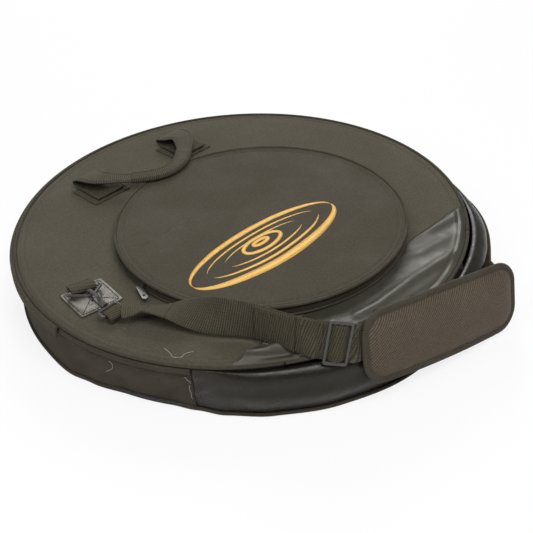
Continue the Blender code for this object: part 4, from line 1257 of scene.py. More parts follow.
@dataclass
class SideWall:
    """The gusset: woven round the top, vinyl at the lower edge, with its pipings."""

    piping: float = 2.4 * MM
    piping_gap: float = 0.3 * MM
    low: float = 5.4 * MM
    high: float = 63.7 * MM
    seams: tuple[float, float] = (215.0, 325.0)
    strip_radius: float = 319.2 * MM
    strip_top: float = 72.6 * MM
    cover_radius: float = 323.7 * MM

    def wall(self, name: str, start: float, end: float, rows: int, step: float,
             finish: Finish) -> bpy.types.Object:
        """A stretch of the side wall below the zip.

        Args:
            name: The piece's name.
            start: Angle where it starts, in degrees.
            end: Angle where it ends.
            rows: Faces up its height.
            step: Length of a face along it.
            finish: Its finish.

        Returns:
            The piece.
        """
        line = arc(SEAM_RADIUS, start, end, step)
        angles = [start + (end - start) * n / (len(line) - 1) for n in range(len(line))]

        def spot(i: int, j: int) -> Vector:
            """Place on the wall."""
            z = self.low + (wall_top(angles[i]) - self.low) * j / rows
            return polar(wall_radius(angles[i], z), angles[i], z)

        heights = [self.low + (self.high - self.low) * n / rows for n in range(rows + 1)]
        bm = grid_mesh(lengths(line), heights, spot, outward=lambda p: Vector((p.x, p.y, 0)))
        return finished(name, spread(bm), finish, FABRIC)

    def strip(self, name: str, radius: float, start: float, end: float, low: float, high: float,
              finish: Finish, thickness: float) -> bpy.types.Object:
        """A narrow upright band of cloth round the bag.

        Args:
            name: The piece's name.
            radius: Radius of its outer face.
            start: Angle where it starts, in degrees.
            end: Angle where it ends.
            low: Its lower edge.
            high: Its upper edge.
            finish: Its finish.
            thickness: Its thickness.

        Returns:
            The piece.
        """
        line = arc(radius, start, end, 6 * MM)
        rows = 4

        def spot(i: int, j: int) -> Vector:
            """Place on the band."""
            share = j / rows
            puff = 0.35 * MM * math.sin(math.pi * share)
            point = line[i] * (1 + puff / radius)
            return Vector((point.x, point.y, low + (high - low) * share))

        bm = grid_mesh(lengths(line), [(high - low) * j / rows for j in range(rows + 1)], spot,
                       outward=lambda p: Vector((p.x, p.y, 0)))
        return finished(name, bm, finish, thickness)

    def build(self) -> None:
        """Build the walls, the bands by the zip and the pipings."""
        left, right = self.seams
        woven = self.wall("wall_cloth", right - 360, left - 0.1, 26, 5 * MM, FINISH.wall)
        settle(woven, "shell", "gusset_nylon", "lower_gusset")
        vinyl = self.wall("wall_vinyl", left + 0.02, right, 34, 3 * MM, FINISH.gloss)
        settle(vinyl, "shell", "vinyl", "vinyl_gusset")
        upper = self.strip("zip_side_cloth", self.strip_radius, -54.9, 234.9, 68.4 * MM, self.strip_top,
                           FINISH.wall, 1.8 * MM)
        settle(upper, "lid", "gusset_nylon", "upper_gusset")
        lower = self.strip("fold_strip_vinyl", self.strip_radius, 235.2, 304.8, 65.6 * MM, self.strip_top,
                           FINISH.gloss, 2.0 * MM)
        settle(lower, "shell", "vinyl", "bottom_gusset_strip")
        cover = self.strip("zip_cover_cloth", self.cover_radius, 180.7, 214.7, 65.3 * MM, 73.2 * MM,
                           FINISH.wall, 1.0 * MM)
        settle(cover, "lid", "gusset_nylon")
        low = self.piping + self.piping_gap
        for name, body, start, end, z, node in (
            ("back_piping_cord", "shell", 0, 360, low, "back_piping"),
            ("lid_piping_cord", "lid", -54.9, 234.9, BAG_TOP - low, "front_piping"),
            ("fold_piping_cord", "shell", 235.15, 304.85, BAG_TOP - low, "front_piping_bottom"),
        ):
            closed = end - start >= 360
            line = arc(SEAM_RADIUS, start, end, 5 * MM, z)
            cord = spread(tube(line[:-1] if closed else line, self.piping, closed=closed))
            skin = FINISH.wall if z < 10 * MM else FINISH.cord
            settle(finished(name, cord, skin), body, "piping_cord", node)
        self.build_stitching()

    def build_stitching(self) -> None:
        """The rows sewn beside the piping and up the vinyl's side seams."""
        rim = []
        for point in arc(307 * MM, -45, 225, 3.6 * MM):
            rim.append(Vector((point.x, point.y, lid_height(point.x, point.y) + 0.3 * MM)))
        settle(stitches("rim_stitches", [rim]), "lid", "woven_nylon")
        seams = []
        for angle in [seam + off for seam in self.seams for off in (-1.1, 1.1)]:
            line = []
            for n in range(15):
                z = (8 + 52 * n / 14) * MM
                out = wall_radius(angle, z) + 0.2 * MM + foot(angle) * smooth((56 * MM - z) / (52 * MM))
                line.append(polar(out, angle, z))
            seams.append(line)
        settle(stitches("side_seam_stitches", seams), "shell", "vinyl")
        angles = [138 + 76 * n / 129 for n in range(130)]
        top = [polar(wall_radius(a, 57.2 * MM) + 0.2 * MM, a, 57.2 * MM) for a in angles]
        settle(stitches("wall_top_stitches", [top], radius=0.35 * MM), "shell", "gusset_nylon")


@dataclass
class CoilZip:
    """The teeth of a coil zip round an arc, which are built a row at a time."""

    radius: float
    start: float
    end: float
    middle: float
    reach: float
    centre_y: float = 0.0
    pitch: float = 2.4 * MM

    def row(self, name: str, above: bool) -> bpy.types.Object:
        """One row of teeth.

        Args:
            name: The piece's name.
            above: Whether it is the upper row.

        Returns:
            The row.
        """
        side = 1 if above else -1
        bm = bmesh.new()
        line = arc(self.radius, self.start, self.end, self.pitch, 0, self.centre_y)
        shift = 0.5 if above else 0.0
        for here, there in zip(line, line[1:]):
            point = here.lerp(there, shift)
            out = math.atan2(point.y - self.centre_y, point.x)
            z = self.middle + side * (self.reach / 2 - 0.3 * MM)
            place = Matrix.Translation((point.x, point.y, z)) @ Matrix.Rotation(out, 4, "Z")
            place @= Matrix.Rotation(0.3 * side, 4, "X")
            bmesh.ops.create_cone(bm, cap_ends=True, segments=6, radius1=0.62 * MM, radius2=0.5 * MM,
                                  depth=self.reach + 0.4 * MM, matrix=place)
        return finished(name, map_flat(bm), FINISH.coil)


@dataclass
class MainZip:
    """The bag's main zip: teeth, tapes, flap and the tabs over its ends."""

    teeth: CoilZip
    tape_radius: float = 316.4 * MM
    tape_thickness: float = 1.4 * MM
    flap_start: float = 28.0
    flap_end: float = 180.0
    flap_face: float = 328.1 * MM

    def build(self, wall: SideWall) -> None:
        """Build the teeth, tapes, flap and tabs.

        Args:
            wall: The side wall, whose bands the tapes lie behind.
        """
        settle(self.teeth.row("zip_teeth_lower", False), "shell", "zip_coil", "zip_chain_lower")
        settle(self.teeth.row("zip_teeth_upper", True), "lid", "zip_coil", "zip_chain_upper")
        for name, low, high, body, node in (
            ("zip_tape_shell", 53.4 * MM, 65.2 * MM, "shell", "zip_tape_lower"),
            ("zip_tape_lid", 66.8 * MM, 73.2 * MM, "lid", "zip_tape_upper"),
        ):
            tape = wall.strip(name, self.tape_radius, self.teeth.start, self.teeth.end, low, high,
                              FINISH.tape, self.tape_thickness)
            settle(tape, body, "zip_tape", node)
        self.build_flap()
        self.build_ends(wall)

    def build_flap(self) -> None:
        """The rolled cloth flap that covers the far part of the zip."""
        section = ((321.9, 72.4), (322.3, 74.6), (324.4, 75.2), (326.6, 74.4), (327.6, 72.6), (327.8, 67.5),
                   (327.9, 62.5), (327.7, 59.8), (327.0, 59.1), (326.3, 59.8), (326.0, 63.0), (325.9, 68.0),
                   (325.8, 71.4), (324.6, 72.3), (321.9, 72.4))
        line = arc(SEAM_RADIUS, self.flap_start, self.flap_end, 6 * MM)
        angles = [self.flap_start + (self.flap_end - self.flap_start) * n / (len(line) - 1)
                  for n in range(len(line))]

        def spot(i: int, j: int) -> Vector:
            """Place on the flap's skin."""
            out, z = section[i]
            run = angles[j] * DEG * SEAM_RADIUS
            drop = smooth((72 - z) / 13)
            wave = 0.7 * MM * rough(run, 0, 1, 45 * MM) * drop
            hang = 0.8 * MM * rough(run, 9, 1, 60 * MM) * drop
            return polar(out * MM + wave, angles[j], z * MM + hang)

        bm = grid_mesh(girth(section), lengths(line), spot, capped=True)
        settle(finished("zip_flap_cloth", bm, FINISH.flap), "lid", "gusset_nylon", "zip_flap")
        rows = [arc(self.flap_face, self.flap_start + 0.4, self.flap_end - 0.4, 3.6 * MM, z * MM)
                for z in (62.4, 71.4)]
        tack = [polar(self.flap_face, a, z * MM)
                for z, a in ((61, 179.4), (64, 179.7), (67, 179.4), (70, 179.7), (72, 179.4))]
        settle(stitches("flap_stitches", rows + [tack], radius=0.38 * MM), "lid", "gusset_nylon")

    def build_ends(self, wall: SideWall) -> None:
        """The sewn cloth tabs over the zip's two ends.

        Args:
            wall: The side wall, whose band a tab is.
        """
        for side, start, end in (("left", 235.2, 237.4), ("right", 302.6, 304.8)):
            tab = wall.strip("zip_end_cloth_" + side, 321.0 * MM, start, end, 63.9 * MM, 68.0 * MM,
                             FINISH.tape, self.tape_thickness)
            settle(tab, "shell", "zip_tape")


@dataclass
class FrontPocket:
    """The round front pocket with its wall, pipings, zip and face."""

    wall_radius: float = 201.8 * MM
    face_radius: float = 201.0 * MM
    zip_start: float = -35.0
    zip_end: float = 215.0
    foot: float = 78.3 * MM
    zip_top: float = 86.8 * MM
    sewn_rise: float = 3.1 * MM
    cord: float = 2.2 * MM
    base_cord: float = 1.4 * MM

    def ring(self, radius: float, z: float) -> list[Vector]:
        """Points of a circle round the pocket's middle, with the last one left out."""
        return arc(radius, 0, 360, 5 * MM, z, POCKET_Y)[:-1]

    def build(self) -> None:
        """Build the pocket's pieces."""
        self.build_wall()
        base = tube(self.ring(203.8 * MM, 80 * MM), self.base_cord, 8, closed=True)
        settle(finished("pocket_base_cord", base, FINISH.cord), "lid", "piping_cord", "pocket_base_piping")
        teeth = CoilZip(200.6 * MM, self.zip_start, self.zip_end, 89.0 * MM, 1.7 * MM, POCKET_Y, 2.2 * MM)
        settle(teeth.row("pocket_teeth_lower", False), "lid", "zip_coil", "pocket_zip_lower")
        settle(teeth.row("pocket_teeth_upper", True), "pocket_flap", "zip_coil", "pocket_zip_upper")
        self.build_face()

    def build_wall(self) -> None:
        """The pocket's gusset, which is lower along the zip."""
        line = arc(self.wall_radius, 0, 360, 5 * MM, 0, POCKET_Y)
        count = len(line) - 1
        section = ((199.9, 0.02), (201.8, 0.0), (202.7, 0.25), (202.9, 0.55), (202.4, 0.88), (201.5, 1.0),
                   (199.9, 0.99), (199.8, 0.5), (199.9, 0.02))

        def spot(i: int, j: int) -> Vector:
            """Place on the gusset's skin."""
            angle = 360.0 * (j % count) / count
            turned = (angle - self.zip_end) % 360
            sewn = smooth((turned + 1) / 1.5) * smooth((110.5 - turned) / 1.5) if turned < 112 else 0.0
            out, share = section[i]
            top = self.zip_top + self.sewn_rise * sewn
            puff = 0.5 * MM * rough(angle * DEG * 0.2, 0, 6, 18 * MM) * math.sin(math.pi * share)
            return polar(out * MM + puff, angle, self.foot + (top - self.foot) * share, POCKET_Y)

        bm = grid_mesh(girth(section, 8.5), lengths(line), spot)
        settle(finished("pocket_wall_cloth", bm, FINISH.wall), "lid", "gusset_nylon", "pocket_gusset",
               "pocket_bottom_gusset")

    def build_face(self) -> None:
        """The face, its piping, its sewn rows and the gold print."""
        bm = fan(self.ring(self.face_radius, 0), Vector((0, POCKET_Y, 0)), pocket_height, 64)
        face = finished("pocket_face_cloth", bm, FINISH.pocket, FABRIC)
        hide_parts("pocket_face", "pocket_sewn_face")
        cord = tube(self.ring(203.3 * MM, 93.35 * MM), self.cord, 10, closed=True)
        edge = finished("pocket_face_cord", cord, FINISH.cord)
        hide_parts("pocket_face_piping", "pocket_sewn_piping")
        rows = []
        for radius in (192 * MM, 197.5 * MM):
            line = arc(radius, 0, 359.4, 3.6 * MM, 0, POCKET_Y)
            rows.append([Vector((p.x, p.y, pocket_height(p.x, p.y) + 0.3 * MM)) for p in line])
        sewn = stitches("pocket_face_stitches", rows)
        for item in (face, edge, sewn, self.emblem()):
            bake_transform(item)

    def emblem(self) -> bpy.types.Object:
        """A plain gold picture of a cymbal that rings, printed on the cloth.

        Returns:
            The print.
        """
        middle = Vector((-38 * MM, -88 * MM, 0))

        def oval(half_x: float, half_y: float, up: float, start: float = 0,
                 end: float = 360) -> list[Vector]:
            """Points of an oval arc about the picture's middle, in mm and degrees."""
            count = 72
            turns = [(start + (end - start) * n / count) * DEG for n in range(count + 1)]
            return [middle + Vector((half_x * math.cos(t), up + half_y * math.sin(t), 0)) * MM
                    for t in turns]

        strokes = [
            (oval(132, 42, 0, 180, 360), 14.0, False), (oval(132, 42, 0, 0, 180), 9.0, False),
            (oval(103, 29, 1, 192, 348), 5.0, False), (oval(103, 29, 1, 12, 168), 3.4, False),
            (oval(72, 19, 2, 200, 340), 3.6, False), (oval(72, 19, 2, 20, 160), 2.6, False),
            (oval(33, 14, 6)[:-1], 6.0, True), (oval(13, 4.5, 9)[:-1], 6.0, True),
        ]
        made = joined([ribbon(path, width * MM, 0.25 * MM, pocket_height, closed)
                       for path, width, closed in strokes])
        item = finished("pocket_print", made, FINISH.gold, 0.15 * MM)
        return item


@dataclass
class CarryHandle:
    """The webbing handle: two sewn patches, a folded leg on each and the stitched grip."""

    offset: float = 83 * MM
    place: float = 217 * MM
    patch_width: float = 66 * MM
    patch_depth: float = 60 * MM
    grip_thickness: float = 6.6 * MM
    thread_lift: float = 0.75 * MM

    def outline(self, x: float, y: float, width: float, depth: float, turn: float) -> list[Vector]:
        """Outline of a rectangle with slightly rounded corners.

        Args:
            x: X of its middle.
            y: Y of its middle.
            width: Its width.
            depth: Its depth.
            turn: How far it is turned, in degrees.

        Returns:
            The closed outline, with its first point not repeated.
        """
        turned = Matrix.Rotation(turn * DEG, 3, "Z")
        half_w, half_d, cut = width / 2, depth / 2, 1.5 * MM
        corners = [(cut - half_w, -half_d), (half_w - cut, -half_d), (half_w, cut - half_d),
                   (half_w, half_d - cut), (half_w - cut, half_d), (cut - half_w, half_d),
                   (-half_w, half_d - cut), (-half_w, cut - half_d)]
        places = [Vector((x, y, 0)) + turned @ Vector((a, b, 0)) for a, b in corners]
        return resampled(places, 3 * MM, closed=True)

    def sewn_box(self, x: float, y: float, width: float, depth: float, turn: float, lift: float,
                 crossed: bool = True) -> list[list[Vector]]:
        """Lines of a sewn box with a cross in it, over the front panel's cloth.

        Args:
            x: X of its middle.
            y: Y of its middle.
            width: Its width.
            depth: Its depth.
            turn: How far it is turned, in degrees.
            lift: Height of the thread over the panel's cloth.
            crossed: Whether it has the cross.

        Returns:
            The lines.
        """
        turned = Matrix.Rotation(turn * DEG, 3, "Z")
        a, b = width / 2, depth / 2
        lines = [[(-a, -b), (a, -b), (a, b), (-a, b), (-a, -b)]]
        if crossed:
            lines += [[(-a, -b), (a, b)], [(-a, b), (a, -b)]]
        result = []
        for points in lines:
            flat = resampled([Vector((x, y, 0)) + turned @ Vector((p, q, 0)) for p, q in points], 3.4 * MM)
            result.append([Vector((p.x, p.y, lid_height(p.x, p.y) + lift)) for p in flat])
        return result

    def leg(self, away: int) -> list[Station]:
        """Sections of one leg, from its sewn layer over the fold to the grip.

        Args:
            away: 1 for the right leg, -1 for the left one.

        Returns:
            The stations.
        """
        x = away * self.offset / MM
        grip = Vector((away * 52, 178, 99.35))
        lead = Vector((away * 0.7071, 0.7071, 0))
        near, far = grip + lead * 14, grip - lead * 4
        route = [(x, 192, 82.0, 49), (x, 205, 82.1, 50), (x, 221, 82.1, 50), (x, 244.8, 82.1, 50),
                 (x, 253, 87.5, 50), (x, 244.8, 92.8, 50), (x, 217, 99.0, 38), (*near, 25), (*far, 24)]
        spots = eased(route, 6)
        result = []
        for n, spot in enumerate(spots):
            ahead, behind = spots[min(n + 1, len(spots) - 1)], spots[max(n - 1, 0)]
            along = Vector(ahead[:3]) - Vector(behind[:3])
            across = UP.cross(Vector((along.x, along.y, 0)))
            across = across.normalized() if across.length > 0.05 else Vector((1, 0, 0))
            if across.x < 0:
                across = -across
            normal = along.cross(across).normalized()
            result.append(Station(Vector(spot[:3]) * MM, across, normal, spot[3] * MM))
        return result

    def build(self) -> None:
        """Build the patches, the legs, the grip and their stitching."""
        boxes = []
        for side, away in (("left", -1), ("right", 1)):
            x = away * self.offset
            outline = self.outline(x, self.place, self.patch_width, self.patch_depth, 0)
            bm = fan(outline, Vector((x, self.place, 0)), lambda a, b: lid_height(a, b) + 2.0 * MM, 14,
                     0.5 * MM)
            patch = finished("handle_patch_cloth_" + side, bm, FINISH.patch, 1.5 * MM)
            settle(patch, "lid", "webbing", "handle_patch_" + side)
            boxes += self.sewn_box(x, self.place, 58 * MM, 52 * MM, 0, 2.4 * MM, False)
            boxes += self.sewn_box(x, self.place - 3 * MM, 42 * MM, 40 * MM, 0, 5.8 * MM)
        settle(stitches("handle_patch_stitches", boxes), "lid", "webbing")
        legs = [self.leg(-1), self.leg(1)]
        grip = self.grip()
        for name, stations, thick in (
            ("handle_leg_left", legs[0], FABRIC),
            ("handle_leg_right", legs[1], FABRIC),
            ("handle_grip", grip, self.grip_thickness),
        ):
            item = finished(name, band(stations, thick, 12, 0.6 * MM), FINISH.web)
            if name == "handle_grip":
                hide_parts("carry_handle")
            self.bend(item)
        rows = []
        for line, thick in ((grip, self.grip_thickness), (legs[0][30:], FABRIC), (legs[1][30:], FABRIC)):
            for side in (-0.36, 0.36):
                rows.append([s.middle + s.across * side * s.width + UP * (thick / 2 + self.thread_lift)
                             for s in line])
        sewn = stitches("handle_grip_stitches", rows)
        self.bend(sewn)

    def grip(self) -> list[Station]:
        """Sections of the folded grip.

        Returns:
            The sections, from left to right.
        """
        spots = []
        for n in range(33):
            share = n / 16 - 1
            wobble = 0.5 * rough(share, 0, 0, 0.4)
            y = 152 + 26 * share * share + wobble
            spots.append((52 * share * MM, y * MM, 99.35 * MM, 25 * MM, 0))
        return leaning_stations(spots)

    def bend(self, item: bpy.types.Object) -> None:
        """Bake a piece's placement into its mesh."""
        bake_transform(item)


@dataclass
class StrapAnchor:
    """A patch with the webbing tab that holds a ring."""

    side: str
    body: str
    pivot: Vector
    right: Vector
    forward: Vector
    out: Vector
    wall_face: float = 322 * MM
    thread_face: float = 322.5 * MM

    def frame(self) -> Matrix:
        """The frame of the ring's bar: X along it, Z out of the bag."""
        turn = Matrix((self.right, self.forward, self.out)).transposed().to_4x4()
        return Matrix.Translation(self.pivot) @ turn

    def build(self, handle: CarryHandle, wall: SideWall) -> None:
        """Build the patch, its stitching and the tab.

        Args:
            handle: The handle, whose outline and sewn box the left patch shares.
            wall: The side wall, whose band the right patch shares.
        """
        if self.side == "left":
            x, y = -260 * MM, 12 * MM
            outline = handle.outline(x, y, 62 * MM, 60 * MM, -8)
            bm = fan(outline, Vector((x, y, 0)), lambda a, b: lid_height(a, b) + 2.0 * MM, 14, 0.5 * MM)
            patch = finished("anchor_patch_left", bm, FINISH.anchor, 1.5 * MM)
            boxes = handle.sewn_box(x, y, 54 * MM, 52 * MM, -8, 2.3 * MM)
        else:
            patch = wall.strip("anchor_patch_right", self.wall_face, 12.7, 23.3, 7.5 * MM, 59 * MM,
                               FINISH.anchor, 1.4 * MM)
            first, last = 13.3, 22.7
            levels = (10.5 * MM, 56 * MM)
            boxes = [arc(self.thread_face, first, last, 3.5 * MM, z) for z in levels]
            boxes += [[polar(self.thread_face, angle, z) for z in levels] for angle in (first, last)]
        settle(patch, self.body, "webbing", "ring_patch_" + self.side)
        settle(stitches("anchor_stitches_" + self.side, boxes), self.body, "webbing")
        self.build_tab()

    def build_tab(self) -> None:
        """The webbing that turns round the ring's bar and is sewn to the patch."""
        frame = self.frame()
        radius = 3.3 * MM
        turns = [math.pi * n / 10 for n in range(11)]
        line = [Vector((0, y * MM, -radius)) for y in (20, 14, 8, 3)]
        line += [Vector((0, -radius * math.sin(t), -radius * math.cos(t))) for t in turns]
        line += [Vector((0, 5 * MM, radius)), Vector((0, 9 * MM, radius - 0.5 * MM)),
                 Vector((0, 14 * MM, 0.4 * MM)), Vector((0, 19 * MM, -0.9 * MM))]
        across = frame.to_3x3() @ Vector((1, 0, 0))
        stations = bent_stations([frame @ p for p in line], across, 34 * MM)
        tab = finished("ring_tab_cloth_" + self.side, band(stations, 1.6 * MM, 10), FINISH.web)
        settle(tab, self.body, "webbing", "ring_tab_" + self.side)
        rows = [[frame @ Vector((x * MM, 12.5 * MM, 2.0 * MM)) for x in range(-14, 15, 2)],
                [frame @ Vector((x * MM, 17.5 * MM, 0.6 * MM)) for x in range(-14, 15, 2)]]
        settle(stitches("ring_tab_stitches_" + self.side, rows, radius=0.38 * MM), self.body, "webbing")


# X, Y and height over the bag's top, width in mm and lean in degrees along the strap's two runs
LID_ROUTE = (
    (-263, -55, 11.5, 24, 0), (-252, -62, 12, 30, -14), (-238, -72, 13, 34, -26), (-223, -98, 15, 40, -12),
    (-211, -120, 17, 44, 14), (-203, -144, 21, 46, 40), (-194, -172, 26, 48, 66), (-183, -194, 27, 50, 78),
    (-173, -222, 28, 50, 84), (-161.9, -261.1, 28, 50, 82), (-158.5, -271, 28, 50, 80),
)
BACK_ROUTE = (
    (105.2, -353.3, -12.4, 50, 75.5), (123, -350.5, -18, 50, 80), (142, -338, -32, 50, 95),
    (158, -317, -45, 50, 110), (175, -294, -53, 50, 121), (203, -273.5, -53, 50, 121),
    (228, -253.5, -53, 50, 121), (253, -228.5, -53, 50, 118), (274, -199, -52, 50, 110),
    (287, -166.5, -50, 50, 102), (303, -127, -47, 48, 95), (318.5, -84, -45, 46, 90),
    (330, -46, -43, 40, 90), (335, -14, -45, 31, 90), (338, 12, -45, 24, 90),
)


@dataclass
class PadFrame:
    """Where the shoulder pad lies: its left end, directions and size."""

    start: Vector = Vector((-113, -328, 82)) * MM
    along: Vector = Vector((0.97749, -0.1779, -0.11339))
    across: Vector = Vector((-0.1541, -0.23502, -0.9597))
    out: Vector = Vector((-0.14408, -0.95557, 0.25715))
    length: float = 255.76 * MM
    width: float = 92 * MM
    strap_over: float = -12.5 * MM
    strap_depth: float = -9.7 * MM
    corner: float = 30 * MM
    hang: float = 6 * MM

    def point(self, share: float, over: float, out: float) -> Vector:
        """A place by its share of the pad's length, how far across and how far out it is."""
        hangs = 1 + self.hang * max(0.0, 1 - (2 * share - 1) ** 2) / (self.width / 2) if over > 0 else 1
        return self.start + self.along * self.length * share + self.across * over * hangs + self.out * out

    def inside(self, place: Vector) -> tuple[float, float, float]:
        """A place's distance along, across and out, in metres."""
        gone = place - self.start
        return gone.dot(self.along), gone.dot(self.across), gone.dot(self.out)

    def from_edge(self, along: float, across: float) -> float:
        """How far inside the pad's rounded outline a place is.

        Args:
            along: The place's distance from the pad's end.
            across: Its distance from the pad's middle line.

        Returns:
            The distance, less than 0 outside.
        """
        a = abs(along - self.length / 2) - (self.length / 2 - self.corner)
        b = abs(across) - (self.width / 2 - self.corner)
        if a > 0 and b > 0:
            return self.corner - math.hypot(a, b)
        return self.corner - max(a, b)

    def kept(self, along: float, across: float, inset: float) -> tuple[float, float]:
        """Move a place in, where it lies outside the rounded outline less an inset.

        Args:
            along: The place's distance from the pad's end.
            across: Its distance from the pad's middle line.
            inset: How far inside the outline it has to be.

        Returns:
            Both distances for the moved place.
        """
        a = abs(along - self.length / 2) - (self.length / 2 - self.corner)
        b = abs(across) - (self.width / 2 - self.corner)
        far = math.hypot(a, b)
        if a <= 0 or b <= 0 or far <= self.corner - inset:
            return along, across
        share = (self.corner - inset) / far
        half = self.length / 2 - self.corner + a * share
        return (self.length / 2 + math.copysign(half, along - self.length / 2),
                math.copysign(self.width / 2 - self.corner + b * share, across))

    def outline(self, inset: float, out: float) -> list[Vector]:
        """The pad's outline, moved inwards, at a height out of its middle plane.

        Args:
            inset: How far inside the pad's edge it is.
            out: Its height out of the middle plane.

        Returns:
            The closed outline, with as many points at every inset.
        """
        half_l, half_w = self.length / 2 - self.corner, self.width / 2 - self.corner
        reach = self.corner - inset
        points = []
        for turn, a, b in ((0, 1, 1), (90, -1, 1), (180, -1, -1), (270, 1, -1)):
            for n in range(10):
                t = (turn + 10 * n) * DEG
                points.append((self.length / 2 + a * half_l + reach * math.cos(t),
                               b * half_w + reach * math.sin(t)))
            side, count = (Vector((-1, 0)), 72) if turn in (0, 180) else (Vector((0, -1)), 17)
            side = side if turn < 180 else -side
            run = 2 * (half_l if turn in (0, 180) else half_w)
            last = Vector(points[-1])
            points += [tuple(last + side * run * n / (count + 1)) for n in range(1, count + 1)]
        return [self.point(along / self.length, across, out) for along, across in points]


